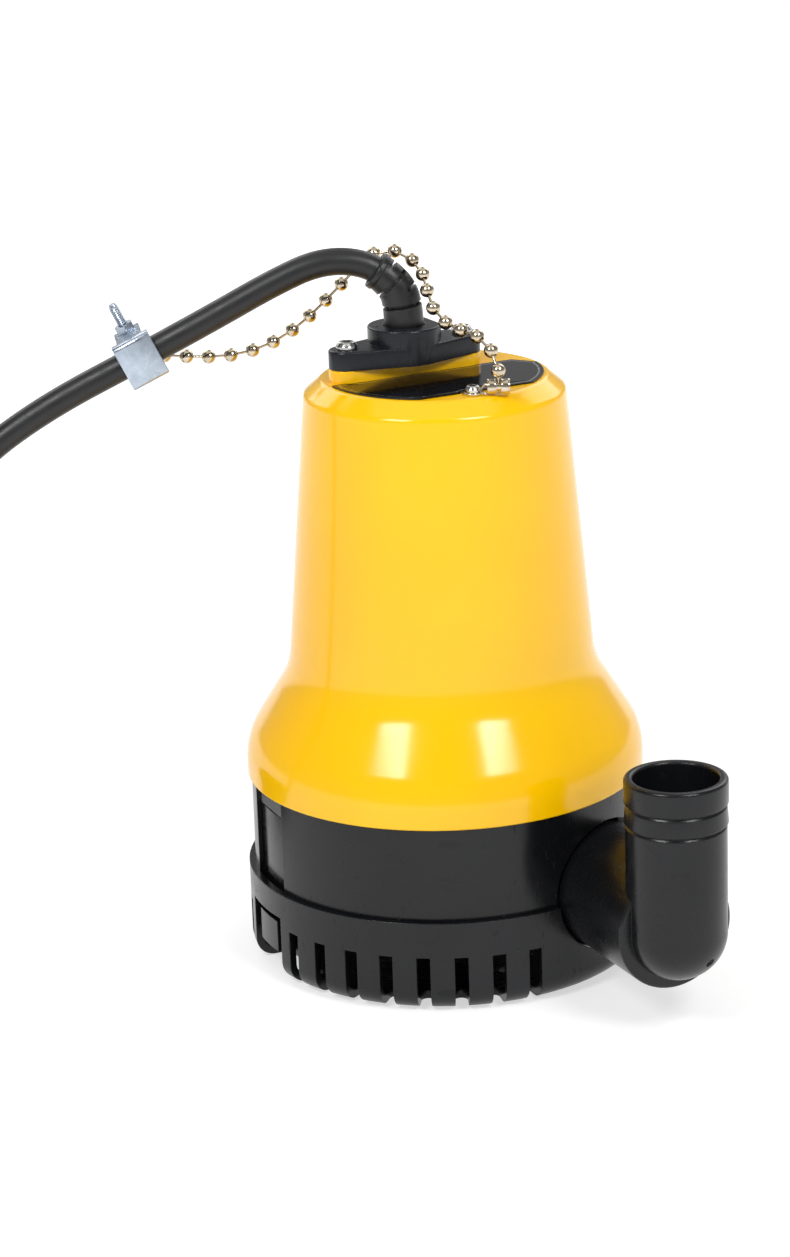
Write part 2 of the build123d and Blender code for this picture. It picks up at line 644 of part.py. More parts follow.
def commutator():
    drum = ring(COMM_R, SHAFT_R, COMM_Z, COMM_Z + COMM_H)
    gap = block(COMM_R - 1.2, COMM_R + 1, -0.3, 0.3, COMM_Z - 1, COMM_Z + COMM_H + 1)
    return drum - [around(360 / CORE_SLOTS * i + 22.5) * gap for i in range(CORE_SLOTS)]


def impeller():
    """A semi-open impeller: back shroud above, curved blades below."""
    z0, z1 = CHAMBER_Z0 + 1.5, CHAMBER_Z1 - 1.5
    wheel = post(IMPELLER_R, z1 - 2.2, z1) + post(7.0, z0 + 3.5, z1)
    blade_line = ThreePointArc((6, 0), (17, 4.5), (IMPELLER_R - 1, 15))
    blade = extrude(Pos(0, 0, z0) * trace(blade_line, 2.0), z1 - z0 - 1)
    blade -= post(EYE_R - 4.5, z0 - 1, z0 + 3.4)
    blade &= post(IMPELLER_R - 0.2, z0 - 1, z1 + 1)
    wheel += [around(360 / IMPELLER_BLADES * i) * blade for i in range(IMPELLER_BLADES)]
    return wheel - post(SHAFT_R, 0, 60)


def impeller_nut():
    z0 = CHAMBER_Z0 + 1.6
    nut = extrude(Pos(0, 0, z0) * RegularPolygon(4.6, 6), 3.2)
    return nut - post(SHAFT_R, 0, 60)


# ---- ball chain ------------------------------------------------------------
def chain_places():
    """Bead centres at an even pitch along the chain's route."""
    path = Spline(*[Vector(*p) for p in CHAIN_ROUTE])
    count = round(path.length / BEAD_PITCH)
    return [path @ (i / count) for i in range(count + 1)]


def chain_beads():
    return [Pos(*place) * Sphere(BEAD_R) for place in chain_places()]


def chain_links():
    places = chain_places()
    links = []
    for a, b in zip(places, places[1:]):
        along = (b - a).normalized()
        length = (b - a).length - 2 * BEAD_R - 0.04
        plane = Plane(origin=a + along * (BEAD_R + 0.02), z_dir=along)
        links.append(extrude(plane * Circle(LINK_R), length))
    return links


def chain_coupling():
    """Two short split barrels side by side that hold the chain's end bead."""
    barrels = []
    for side in (-1, 1):
        start = side * 1.95 - 1.3
        barrels.append(rod(2.4, start, start + 2.6) - rod(1.9, start - 1, start + 4))
    neck = rod(1.2, -0.8, 0.8)
    walls = rod(2.3, -0.9, -0.5) + rod(2.3, 0.5, 0.9)
    stem = post(LINK_R, 0, CHAIN_ROUTE[0][2] - COUPLING_Z - BEAD_R - 0.03)
    return Pos(*CHAIN_ROUTE[0][:2], COUPLING_Z) * (Part() + barrels + neck + walls + stem)


def chain_eyelet():
    """A lug under a screw, with a loop for the chain's coupling."""
    x, y = EYELET_XY
    z = TOP_Z + 0.02
    tag = ring(2.9, 1.4, z, z + 0.8, x, y)
    ear = block(x + 2.4, x + 3.1, y - 1.6, y - 0.6, z, z + 2.3)
    loop = Pos(x + 4.0, y - 1.4, z + 2.1) * Rot(90, 0, 0) * Torus(1.2, 0.28)
    return tag + ear + loop


def eyelet_screw():
    x, y = EYELET_XY
    return Pos(x, y, TOP_Z + 0.84) * pan_screw(2.3, 1.8, 1.2, 6)


# ---- cable, clamp and coil -------------------------------------------------
def power_cable():
    points = [Vector(*p) for p in CABLE_ROUTE]
    radii = run_radii(points)
    tube, path = tube_along(points, radii, CABLE_R)
    print("cable radii", [round(r, 1) for r in radii])
    print("cable length", round(path.length, 1), "length x section",
          round(path.length * math.pi * CABLE_R ** 2, 1), "volume", round(tube.volume, 1))
    return tube


def clamp_plane():
    """Origin on the cable at the clamp, z along the cable, x upwards."""
    points = [Vector(*p) for p in CABLE_ROUTE]
    here = points[CLAMP_POINT]
    along = (points[CLAMP_POINT + 1] - points[CLAMP_POINT - 1]).normalized()
    up = Vector(0, 0, 1) - along * along.dot(Vector(0, 0, 1))
    return Plane(origin=here, x_dir=up.normalized(), z_dir=along)


def cable_clamp():
    """A bent strap: a flat plate in front of the cable and two legs back past it."""
    front = -(CABLE_R + CLAMP_GAP)
    half = CLAMP_TALL / 2
    plate = block(-half, half, front - CLAMP_T, front, -CLAMP_LEN / 2, CLAMP_LEN / 2)
    plate = fillet(plate.edges().filter_by(Axis.Z).group_by(Axis.Y)[0], CLAMP_T * 0.8)
    leg = block(half - CLAMP_T, half, front - 0.1, CLAMP_LEG, -CLAMP_LEG_W / 2, CLAMP_LEG_W / 2)
    strap = plate + leg + mirror(leg, about=Plane.YZ)
    strap -= Pos(0, CLAMP_SCREW_Y, 0) * rod(CLAMP_SCREW_R + 0.2, -half - 1, half + 1)
    return Part() + clamp_plane().location * strap


def clamp_screw():
    """Head below the strap, and its end stands up above it."""
    screw = Rot(0, -90, 0) * pan_screw(2.9, 2.0, CLAMP_SCREW_R, CLAMP_SCREW_LEN)
    seat = Pos(-CLAMP_TALL / 2 - 0.02, CLAMP_SCREW_Y, 0)
    return clamp_plane().location * (seat * screw)


def clamp_nut():
    nut = extrude(RegularPolygon(3.0, 6), 2.3) - post(CLAMP_SCREW_R + RUN, -1, 5)
    seat = Pos(CLAMP_TALL / 2 + 0.02, CLAMP_SCREW_Y, 0) * Rot(0, 90, 0)
    return clamp_plane().location * (seat * nut)


def at_coil(shape):
    return Pos(COIL_X, COIL_Y, COIL_LIFT) * shape


def cable_coil():
    """The outer shape of the wound cable: two full layers and two turns on top."""
    inner, outer = COIL_RADII[0] - CABLE_R, COIL_RADII[-1] + CABLE_R
    layer = 2 * CABLE_R
    low, high = 2 * layer, 3 * layer - 1
    top_inner, top_outer = TOP_TURN_RADII
    coil = ring(outer, inner, 0, low)
    coil += ring(top_outer + CABLE_R, top_inner - CABLE_R, low, high)
    reach = top_inner + CABLE_R
    free = block(0, reach, 0, reach, low, high + 1) & post(reach, 0, high + 1)
    return at_coil(coil - around(END_AZ) * free)


def coil_ties():
    """Two straps round the coil's section."""
    inner, outer = COIL_RADII[0] - CABLE_R - 0.6, COIL_RADII[-1] + CABLE_R + 0.9
    low, mid, high = -0.05, 4.2 * CABLE_R, 6 * CABLE_R - 0.8
    shape = Polyline((inner, low), (outer, low), (outer, mid), (TOP_TURN_RADII[1] + CABLE_R, high),
                     (TOP_TURN_RADII[0] - CABLE_R - 0.4, high), (inner, mid), close=True)
    face = make_face(Plane.XZ * shape)
    strap = extrude(offset(face, TIE_T - 0.05) - face, TIE_W / 2, both=True)
    return [at_coil(around(azimuth) * strap) for azimuth in TIE_AZ]


def bare_core(side):
    """One stripped core, on round the top layer past the cable's end."""
    points = []
    for i, droop in enumerate(CORE_DROOP):
        azimuth = math.radians(END_AZ + 0.4 + CORE_STEP * i)
        radius = TOP_TURN_RADII[0] + side * CORE_SPREAD - 0.8 * i
        points.append(Vector(radius * math.cos(azimuth), radius * math.sin(azimuth),
                             5 * CABLE_R - droop))
    return at_coil(tube_along(points, run_radii(points), CORE_WIRE_R)[0])


def build():
    os.makedirs("parts", exist_ok=True)
    save(strainer_base(), "strainer_base")
    save(volute_casing(), "volute_casing")
    save(inlet_cover(), "inlet_cover")
    save(inlet_cover_screws(), "inlet_cover_screws")
    save(release_tab(LATCH_AZ[0]), "release_tab_left")
    save(release_tab(LATCH_AZ[1]), "release_tab_right")
    save(casing_screws(), "casing_screws")
    save(outlet_elbow(), "outlet_elbow")
    save(outlet_seal(), "outlet_seal")
    save(bulkhead(), "bulkhead")
    save(bulkhead_seal(), "bulkhead_seal")
    save(shaft_seal(), "shaft_seal")
    save(motor_housing(), "motor_housing")
    save(nameplate(), "nameplate")
    save(gland_flange(), "gland_flange")
    save(gland_seal(), "gland_seal")
    save(cable_bush(), "cable_bush")
    save(cable_inner_end(), "cable_inner_end")
    save(gland_screws(), "gland_screws")
    save(strain_relief(), "strain_relief")
    save(motor_can(), "motor_can")
    save(motor_end_plate(), "motor_end_plate")
    save(bearing(CAN_Z + 0.2, CAN_Z + 7), "lower_bearing")
    save(bearing(CAN_Z + CAN_H - CAN_T, CAN_Z + CAN_H + 4), "upper_bearing")
    save(magnets(), "magnets")
    save(brush_plate(), "brush_plate")
    save(brushes(), "brushes")
    save(lead_wires(), "lead_wires")
    save(motor_shaft(), "motor_shaft")
    save(armature_core(), "armature_core")
    save(armature_windings(), "armature_windings")
    save(commutator(), "commutator")
    save(impeller(), "impeller")
    save(impeller_nut(), "impeller_nut")
    save(chain_beads(), "chain_beads")
    save(chain_links(), "chain_links")
    save(chain_coupling(), "chain_coupling")
    save(chain_eyelet(), "chain_eyelet")
    save(eyelet_screw(), "eyelet_screw")
    save(power_cable(), "power_cable")
    save(cable_clamp(), "cable_clamp")
    save(clamp_screw(), "clamp_screw")
    save(clamp_nut(), "clamp_nut")
    save(cable_coil(), "cable_coil")
    save(coil_ties(), "coil_ties")
    save(bare_core(1), "core_positive")
    save(bare_core(-1), "core_negative")


build()
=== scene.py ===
import logging
import math
from dataclasses import dataclass, field
from enum import Enum
from typing import Optional, Sequence

import bpy
from mathutils import Matrix, Vector


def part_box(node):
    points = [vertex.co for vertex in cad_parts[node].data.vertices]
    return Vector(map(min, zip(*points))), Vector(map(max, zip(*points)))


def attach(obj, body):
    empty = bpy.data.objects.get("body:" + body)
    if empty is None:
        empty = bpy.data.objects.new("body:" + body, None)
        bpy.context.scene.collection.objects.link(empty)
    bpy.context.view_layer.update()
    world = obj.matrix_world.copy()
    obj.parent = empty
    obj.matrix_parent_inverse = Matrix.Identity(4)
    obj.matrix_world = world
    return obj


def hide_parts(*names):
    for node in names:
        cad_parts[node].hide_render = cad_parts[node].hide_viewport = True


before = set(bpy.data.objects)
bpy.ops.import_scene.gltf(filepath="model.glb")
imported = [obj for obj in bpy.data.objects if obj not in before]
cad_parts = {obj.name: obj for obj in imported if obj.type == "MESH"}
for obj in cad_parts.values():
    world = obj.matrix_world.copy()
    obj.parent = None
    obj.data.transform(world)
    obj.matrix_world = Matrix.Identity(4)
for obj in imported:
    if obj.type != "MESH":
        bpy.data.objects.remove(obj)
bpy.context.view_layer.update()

LOG = logging.getLogger("bilge_pump")
MM = 0.001
Point = tuple[float, float]
ALONG_X = Vector((1, 0, 0))
ALONG_Z = Vector((0, 0, 1))


# ---- modelling bench ---------------------------------------------------------
def deselect_all() -> None:
    """Leave edit mode and drop the selection, so that an operator acts on new work only."""
    if bpy.context.object and bpy.context.object.mode != "OBJECT":
        bpy.ops.object.mode_set(mode="OBJECT")
    bpy.ops.object.select_all(action="DESELECT")


def take(obj: bpy.types.Object) -> None:
    """Make one object the only selected and active one."""
    deselect_all()
    obj.select_set(True)
    bpy.context.view_layer.objects.active = obj


def edit_all(obj: bpy.types.Object) -> None:
    """Open an object in edit mode with all of it selected."""
    take(obj)
    bpy.ops.object.mode_set(mode="EDIT")
    bpy.ops.mesh.select_all(action="SELECT")


def close_up(obj: bpy.types.Object) -> bpy.types.Object:
    """Merge doubled points and turn every face outwards.

    Args:
        obj: The mesh to clean.
    Returns:
        The same object, back in object mode.
    """
    edit_all(obj)
    bpy.ops.mesh.remove_doubles(threshold=1e-6)
    bpy.ops.mesh.normals_make_consistent(inside=False)
    bpy.ops.object.mode_set(mode="OBJECT")
    return obj


def start_line(name: str, first: Vector) -> bpy.types.Object:
    """Begin a mesh from one point, left in edit mode with that point selected.

    Args:
        name: The piece's name.
        first: Where the point is, in metres.
    Returns:
        The new object.
    """
    deselect_all()
    bpy.ops.mesh.primitive_plane_add(size=0.001)
    obj = bpy.context.object
    obj.name = name
    bpy.ops.object.mode_set(mode="EDIT")
    bpy.ops.mesh.select_all(action="SELECT")
    bpy.ops.mesh.merge(type="CENTER")
    bpy.ops.transform.translate(value=first)
    return obj


def draw_on(points: Sequence[Vector]) -> None:
    """Extrude the selected point through the rest of a line of points."""
    for before, after in zip(points, points[1:]):
        bpy.ops.mesh.extrude_vertices_move(TRANSFORM_OT_translate={"value": after - before})


def lathe(name: str, profile: Sequence[Point], steps: int = 96, ring: bool = False) -> bpy.types.Object:
    """Turn a half section about Z.

    Args:
        name: The piece's name.
        profile: Radius and height of each point, in millimetres.
        steps: How many facets go round.
        ring: Whether the section is a closed loop clear of the axis.
    Returns:
        A closed mesh at the origin.
    """
    points = [Vector((r * MM, 0.0, z * MM)) for r, z in profile]
    if ring:
        points.append(points[0])
    obj = start_line(name, points[0])
    draw_on(points)
    bpy.ops.mesh.select_all(action="SELECT")
    bpy.ops.mesh.remove_doubles(threshold=1e-6)
    bpy.ops.mesh.select_all(action="SELECT")
    bpy.ops.mesh.spin(steps=steps, angle=2 * math.pi, center=(0, 0, 0), axis=(0, 0, 1))
    bpy.ops.object.mode_set(mode="OBJECT")
    return close_up(obj)


def prism(name: str, outline: Sequence[Point], low: float, high: float, rim: float = 0.0,
          segments: int = 3) -> bpy.types.Object:
    """Raise a flat outline to a solid and round its upper rim.

    Args:
        name: The piece's name.
        outline: Corners of the outline in millimetres, in order.
        low: Height of the bottom face.
        high: Height of the top face.
        rim: Rounding of the top edge, or 0 for a sharp one.
        segments: Facets in that rounding.
    Returns:
        A closed mesh.
    """
    points = [Vector((x * MM, y * MM, low * MM)) for x, y in outline]
    obj = start_line(name, points[0])
    draw_on(points)
    bpy.ops.mesh.select_all(action="SELECT")
    bpy.ops.mesh.edge_face_add()
    bpy.ops.mesh.extrude_region_move(TRANSFORM_OT_translate={"value": (0, 0, (high - low) * MM)})
    if rim:
        bpy.ops.mesh.region_to_loop()
        bpy.ops.mesh.bevel(offset=rim * MM, segments=segments)
    bpy.ops.object.mode_set(mode="OBJECT")
    return close_up(obj)


def box(name: str, low: Sequence[float], high: Sequence[float]) -> bpy.types.Object:
    """A block between two corners in millimetres, to cut or join with."""
    size = [h - l for l, h in zip(low, high)]
    middle = [(l + h) / 2 for l, h in zip(low, high)]
    deselect_all()
    bpy.ops.mesh.primitive_cube_add(size=1, location=Vector(middle) * MM, scale=Vector(size) * MM)
    obj = bpy.context.object
    obj.name = name
    return settle(obj)


def rod(name: str, radius: float, length: float, start: Vector, along: Vector,
        facets: int = 32) -> bpy.types.Object:
    """A round bar from a point along a direction, in millimetres."""
    middle = start + along.normalized() * length / 2
    deselect_all()
    bpy.ops.mesh.primitive_cylinder_add(
        vertices=facets, radius=radius * MM, depth=length * MM, location=middle * MM,
        rotation=along.to_track_quat("Z", "Y").to_euler())
    obj = bpy.context.object
    obj.name = name
    return settle(obj)


def settle(obj: bpy.types.Object, matrix: Optional[Matrix] = None) -> bpy.types.Object:
    """Put a piece in its place and apply it, so that the object ends at the origin.

    Args:
        obj: The piece.
        matrix: Where it goes, or None to apply the place it has.
    Returns:
        The same object.
    """
    take(obj)
    if matrix is not None:
        obj.matrix_world = matrix
    bpy.ops.object.transform_apply(location=True, rotation=True, scale=True)
    return obj


def copy_of(obj: bpy.types.Object, name: str) -> bpy.types.Object:
    """A second piece with its own mesh."""
    new = obj.copy()
    new.data = obj.data.copy()
    new.name = name
    bpy.context.scene.collection.objects.link(new)
    return new


def join(name: str, parts: Sequence[bpy.types.Object]) -> bpy.types.Object:
    """Join several meshes in one object under a new name."""
    take(parts[0])
    for part in parts:
        part.select_set(True)
    bpy.ops.object.join()
    obj = bpy.context.object
    obj.name = name
    return obj


class Cut(Enum):
    """What a tool body does to a piece."""

    ADD = "UNION"
    REMOVE = "DIFFERENCE"
    KEEP = "INTERSECT"


def combine(obj: bpy.types.Object, tool: bpy.types.Object, how: Cut) -> bpy.types.Object:
    """Add a tool body to a piece, or cut the piece with it; the tool is used up.

    Args:
        obj: The piece.
        tool: The closed body it is combined with.
        how: Whether the tool adds, removes or keeps.
    Returns:
        The piece.
    """
    take(obj)
    modifier = obj.modifiers.new("combine", "BOOLEAN")
    modifier.operation = how.value
    modifier.solver = "EXACT"
    modifier.object = tool
    bpy.ops.object.modifier_apply(modifier=modifier.name)
    bpy.data.objects.remove(tool)
    return obj


def soften(obj: bpy.types.Object, width: float, segments: int = 2, angle: float = 35.0) -> bpy.types.Object:
    """Round the sharp edges of a piece by a width in millimetres."""
    take(obj)
    modifier = obj.modifiers.new("soften", "BEVEL")
    modifier.width = width * MM
    modifier.segments = segments
    modifier.limit_method = "ANGLE"
    modifier.angle_limit = math.radians(angle)
    bpy.ops.object.modifier_apply(modifier=modifier.name)
    return obj


def shade(obj: bpy.types.Object, angle: float = 32.0) -> bpy.types.Object:
    """Shade a piece smooth up to an edge angle in degrees."""
    take(obj)
    bpy.ops.object.shade_smooth_by_angle(angle=math.radians(angle))
    return obj


def arc(cx: float, cy: float, radius: float, start: float, end: float, steps: int) -> list[Point]:
    """Points along an arc, both ends included, with angles in degrees."""
    turns = [math.radians(start + (end - start) * i / steps) for i in range(steps + 1)]
    return [(cx + radius * math.cos(t), cy + radius * math.sin(t)) for t in turns]


def rounded(corners: Sequence[tuple[float, float, float]], closed: bool = False,
            step: float = 12.0) -> list[Point]:
    """Replace each corner of a line by an arc.

    Args:
        corners: x, y and rounding radius of each corner, in millimetres.
        closed: Whether the line returns to its start.
        step: Largest turn of one facet, in degrees.
    Returns:
        The points of the rounded line.
    """
    points: list[Point] = []
    count = len(corners)
    for i, (x, y, radius) in enumerate(corners):
        here = Vector((x, y))
        if radius <= 0 or (not closed and i in (0, count - 1)):
            points.append((x, y))
            continue
        before = (Vector(corners[i - 1][:2]) - here).normalized()
        after = (Vector(corners[(i + 1) % count][:2]) - here).normalized()
        between = before.angle(after)
        middle = here + (before + after).normalized() * radius / math.sin(between / 2)
        first = here + before * radius / math.tan(between / 2) - middle
        last = here + after * radius / math.tan(between / 2) - middle
        turn = first.angle_signed(last)
        facets = max(1, math.ceil(abs(math.degrees(turn)) / step))
        for k in range(facets + 1):
            t = -turn * k / facets
            spoke = Vector((first.x * math.cos(t) - first.y * math.sin(t),
                            first.x * math.sin(t) + first.y * math.cos(t)))
            points.append(tuple(middle + spoke))
    return points


def islands(obj: bpy.types.Object) -> list[Vector]:
    """The middle of each separate body of a CAD node, in metres, in the node's own order."""
    mesh = obj.data
    owner = list(range(len(mesh.vertices)))
    place: dict[tuple, int] = {}
    for v in mesh.vertices:
        owner[v.index] = place.setdefault(tuple(round(c, 7) for c in v.co), v.index)

    def root(i: int) -> int:
        """The first vertex of the body that vertex i belongs to."""
        while owner[i] != i:
            owner[i] = owner[owner[i]]
            i = owner[i]
        return i

    for edge in mesh.edges:
        a, b = (root(i) for i in edge.vertices)
        owner[max(a, b)] = min(a, b)
    groups: dict[int, list[Vector]] = {}
    for v in mesh.vertices:
        groups.setdefault(root(v.index), []).append(v.co)
    middles = []
    for first in sorted(groups):
        cloud = groups[first]
        low = Vector([min(p[i] for p in cloud) for i in range(3)])
        high = Vector([max(p[i] for p in cloud) for i in range(3)])
        middles.append((low + high) / 2)
    return middles


def facing(way: Vector) -> Matrix:
    """The turn that points a piece's Z along a direction."""
    return way.to_track_quat("Z", "Y").to_matrix().to_4x4()


def upright(x: float, y: float, z: float, azimuth: float = 0.0) -> Matrix:
    """A place given in millimetres with a turn about Z in degrees."""
    return Matrix.Translation(Vector((x, y, z)) * MM) @ Matrix.Rotation(math.radians(azimuth), 4, "Z")


# ---- finishes ------------------------------------------------------------------
def linear(code: str) -> tuple[float, float, float, float]:
    """Turn an sRGB hex colour into Blender's linear colour."""
    values = [int(code[i:i + 2], 16) / 255 for i in (1, 3, 5)]
    return tuple(v / 12.92 if v <= 0.04045 else ((v + 0.055) / 1.055) ** 2.4 for v in values) + (1.0,)


def add_node(tree: bpy.types.NodeTree, kind: str, inputs: Optional[dict] = None,
             **settings: object) -> bpy.types.Node:
    """Add a node to a material.

    Args:
        tree: The material's node tree.
        kind: The node's type name.
        inputs: Socket name or index to a value, or to a (node, output) pair to link.
        settings: Attributes of the node.
    Returns:
        The new node.
    """
    node = tree.nodes.new(kind)
    for key, value in settings.items():
        setattr(node, key, value)
    for key, value in (inputs or {}).items():
        if isinstance(value, tuple) and isinstance(value[0], bpy.types.Node):
            tree.links.new(value[0].outputs[value[1]], node.inputs[key])
        else:
            node.inputs[key].default_value = value
    return node


def ramp(tree: bpy.types.NodeTree, source: tuple, stops: Sequence[tuple[float, tuple]]) -> bpy.types.Node:
    """A colour ramp over a source, with (position, linear colour) stops."""
    node = add_node(tree, "ShaderNodeValToRGB", {0: source})
    elements = node.color_ramp.elements
    for i, (position, colour) in enumerate(stops):
        element = elements[i] if i < len(elements) else elements.new(position)
        element.position = position
        element.color = colour
    return node


@dataclass(frozen=True)
class Finish:
    """What every finish shares: two close colours, a gloss range and a fine relief."""

    label: str
    colour: str
    second: str
    rough: tuple[float, float] = (0.2, 0.3)
    cloud_mm: float = 25.0
    grain_mm: float = 0.6
    relief_mm: float = 0.01
    edge_mm: float = 0.35

    def material(self) -> bpy.types.Material:
        """The Blender material of this finish, built once."""
        known = bpy.data.materials.get(self.label)
        if known:
            return known
        material = bpy.data.materials.new(self.label)
        material.use_nodes = True
        tree = material.node_tree
        tree.nodes.clear()
        place = (add_node(tree, "ShaderNodeTexCoord"), "Object")
        shader = self.shader(tree, place)
        add_node(tree, "ShaderNodeOutputMaterial", {"Surface": (shader, 0)})
        return material

    def noise(self, tree: bpy.types.NodeTree, place: tuple, size_mm: float, detail: float = 3.0) -> tuple:
        """A noise whose cells are about size_mm wide."""
        inputs = {"Vector": place, "Scale": 1 / (size_mm * MM), "Detail": detail}
        node = add_node(tree, "ShaderNodeTexNoise", inputs)
        return node, 0

    def paint(self, tree: bpy.types.NodeTree, place: tuple) -> tuple:
        """The colour, drifting between the two tones in soft clouds."""
        cloud = self.noise(tree, place, self.cloud_mm)
        stops = [(0.35, linear(self.colour)), (0.65, linear(self.second))]
        return ramp(tree, cloud, stops), 0

    def gloss(self, tree: bpy.types.NodeTree, place: tuple) -> tuple:
        """The roughness, handled unevenly."""
        patch = self.noise(tree, place, self.cloud_mm / 3, 6.0)
        node = add_node(tree, "ShaderNodeMapRange", {
            0: patch, "From Min": 0.3, "From Max": 0.7, "To Min": self.rough[0], "To Max": self.rough[1]})
        return node, 0

    def relief(self, tree: bpy.types.NodeTree, place: tuple) -> tuple:
        """The surface normal: rounded edges with a fine relief on them."""
        edge = add_node(tree, "ShaderNodeBevel", {"Radius": self.edge_mm * MM}, samples=4)
        bump = add_node(tree, "ShaderNodeBump", {
            "Height": self.height(tree, place), "Strength": 1.0, "Distance": self.relief_mm * MM,
            "Normal": (edge, 0)})
        return bump, 0

    def height(self, tree: bpy.types.NodeTree, place: tuple) -> tuple:
        """The pattern of the relief."""
        return self.noise(tree, place, self.grain_mm, 4.0)

    def constants(self) -> dict:
        """Values that are the same all over the surface."""
        return {"IOR": 1.5}

    def shader(self, tree: bpy.types.NodeTree, place: tuple) -> bpy.types.Node:
        """The principled shader of the finish."""
        inputs = {"Base Color": self.paint(tree, place), "Roughness": self.gloss(tree, place),
                  "Normal": self.relief(tree, place)}
        return add_node(tree, "ShaderNodeBsdfPrincipled", {**inputs, **self.constants()})


@dataclass(frozen=True)
class MouldedPlastic(Finish):
    """Injection-moulded ABS or nylon: glossy skin, faint flow clouds and hairline scuffs."""

    scuff: float = 0.25
    ior: float = 1.42
    glow: float = 0.0

    def constants(self) -> dict:
        """Index of the plastic, and how far light travels in a pale one."""
        values: dict = {"IOR": self.ior}
        if self.glow:
            values["Subsurface Weight"] = self.glow
            values["Subsurface Scale"] = 1.5 * MM
        return values

    def scratches(self, tree: bpy.types.NodeTree, place: tuple, turn: float) -> tuple:
        """Thin lines in one direction, from a noise drawn out 60 to 1."""
        turned = add_node(tree, "ShaderNodeMapping", {
            "Vector": place, "Rotation": (turn, turn * 0.7, turn * 1.3), "Scale": (1.0, 60.0, 8.0)})
        lines = self.noise(tree, (turned, 0), 45.0, 2.0)
        thin = add_node(tree, "ShaderNodeMapRange", {
            0: lines, "From Min": 0.66, "From Max": 0.74, "To Min": 0.0, "To Max": 1.0})
        return thin, 0

    def gloss(self, tree: bpy.types.NodeTree, place: tuple) -> tuple:
        """Even moulding gloss, dulled where it has been scuffed."""
        base = super().gloss(tree, place)
        marks = [self.scratches(tree, place, turn) for turn in (0.4, 1.9)]
        both = add_node(tree, "ShaderNodeMath", {0: marks[0], 1: marks[1]}, operation="MAXIMUM")
        inputs = {0: (both, 0), 1: self.scuff, 2: base}
        spread = add_node(tree, "ShaderNodeMath", inputs, operation="MULTIPLY_ADD")
        return spread, 0


@dataclass(frozen=True)
class Rubber(Finish):
    """Extruded or moulded rubber: satin skin with a fine dusty tooth."""

    def constants(self) -> dict:
        """A little sheen from the dusty skin."""
        return {"IOR": 1.52, "Sheen Weight": 0.06, "Sheen Roughness": 0.4}


@dataclass(frozen=True)
class Metal(Finish):
    """Plated or turned metal, with fine lines round its axis or none."""

    lines_mm: float = 0.0

    def height(self, tree: bpy.types.NodeTree, place: tuple) -> tuple:
        """Turning lines when the piece was turned, else the plating's fine orange peel."""
        if not self.lines_mm:
            return super().height(tree, place)
        node = add_node(tree, "ShaderNodeTexNoise", {
            "Vector": (add_node(tree, "ShaderNodeMapping", {
                "Vector": place, "Scale": (0.05, 0.05, 1.0)}), 0),
            "Scale": 1 / (self.lines_mm * MM), "Detail": 2.0})
        return node, 0

    def shader(self, tree: bpy.types.NodeTree, place: tuple) -> bpy.types.Node:
        """A metallic shader at its default index."""
        inputs = {"Base Color": self.paint(tree, place), "Roughness": self.gloss(tree, place),
                  "Normal": self.relief(tree, place), "Metallic": 1.0}
        return add_node(tree, "ShaderNodeBsdfPrincipled", inputs)


@dataclass(frozen=True)
class Sintered(Finish):
    """Pressed powder: speckled and matt, as ferrite, carbon and bearing bronze are."""

    metallic: float = 0.0

    def paint(self, tree: bpy.types.NodeTree, place: tuple) -> tuple:
        """Specks the size of the powder's grains, drawn at 0.3 mm so that they show."""
        specks = add_node(tree, "ShaderNodeTexVoronoi", {"Vector": place, "Scale": 1 / (0.3 * MM)})
        return ramp(tree, (specks, 0), [(0.2, linear(self.second)), (0.6, linear(self.colour))]), 0

    def constants(self) -> dict:
        """Metallic only for the bronze."""
        return {"Metallic": self.metallic}


@dataclass(frozen=True)
class Winding(Finish):
    """Enamelled copper wire laid side by side."""

    wire_mm: float = 0.7

    def height(self, tree: bpy.types.NodeTree, place: tuple) -> tuple:
        """Round wires as bands."""
        bands = add_node(tree, "ShaderNodeTexWave", {
            "Vector": place, "Scale": 1 / (self.wire_mm * MM) / 6.28, "Distortion": 1.5},
            wave_type="BANDS", bands_direction="DIAGONAL")
        return bands, 1

    def constants(self) -> dict:
        """Copper under clear enamel."""
        return {"Metallic": 1.0, "Coat Weight": 0.6, "Coat Roughness": 0.15}


@dataclass(frozen=True)
class Webbing(Finish):
    """Woven nylon loop strap with threads 0.5 mm apart."""

    thread_mm: float = 0.5

    def height(self, tree: bpy.types.NodeTree, place: tuple) -> tuple:
        """Over and under threads from two crossed waves."""
        scale = 1 / (self.thread_mm * MM) / 6.28
        waves = [add_node(tree, "ShaderNodeTexWave", {"Vector": place, "Scale": scale},
                          wave_type="BANDS", bands_direction=way) for way in ("X", "Z")]
        both = add_node(tree, "ShaderNodeMath", {0: (waves[0], 1), 1: (waves[1], 1)}, operation="MULTIPLY")
        return both, 0


# High-gloss yellow ABS, moulded in one shot: saturated colour with a deep even shine.
YELLOW_ABS = MouldedPlastic("moulded_yellow_abs", "#FFC600", "#FFC000", (0.12, 0.17), 60.0, 0.9, 0.004,
                            0.25, scuff=0.05, ior=1.52)
# Black ABS of the casing: glossy, with hairline handling scuffs that dull it in streaks.
BLACK_ABS = MouldedPlastic("moulded_black_abs", "#0E0F11", "#131416", (0.18, 0.26), 30.0, 0.8, 0.008,
                           0.35, scuff=0.22)
# The same ABS on the strainer, a little more worn.
STRAINER_ABS = MouldedPlastic("moulded_black_abs_scuffed", "#0E0F11", "#141518", (0.2, 0.3), 22.0, 0.7, 0.012,
                              0.45, scuff=0.3)
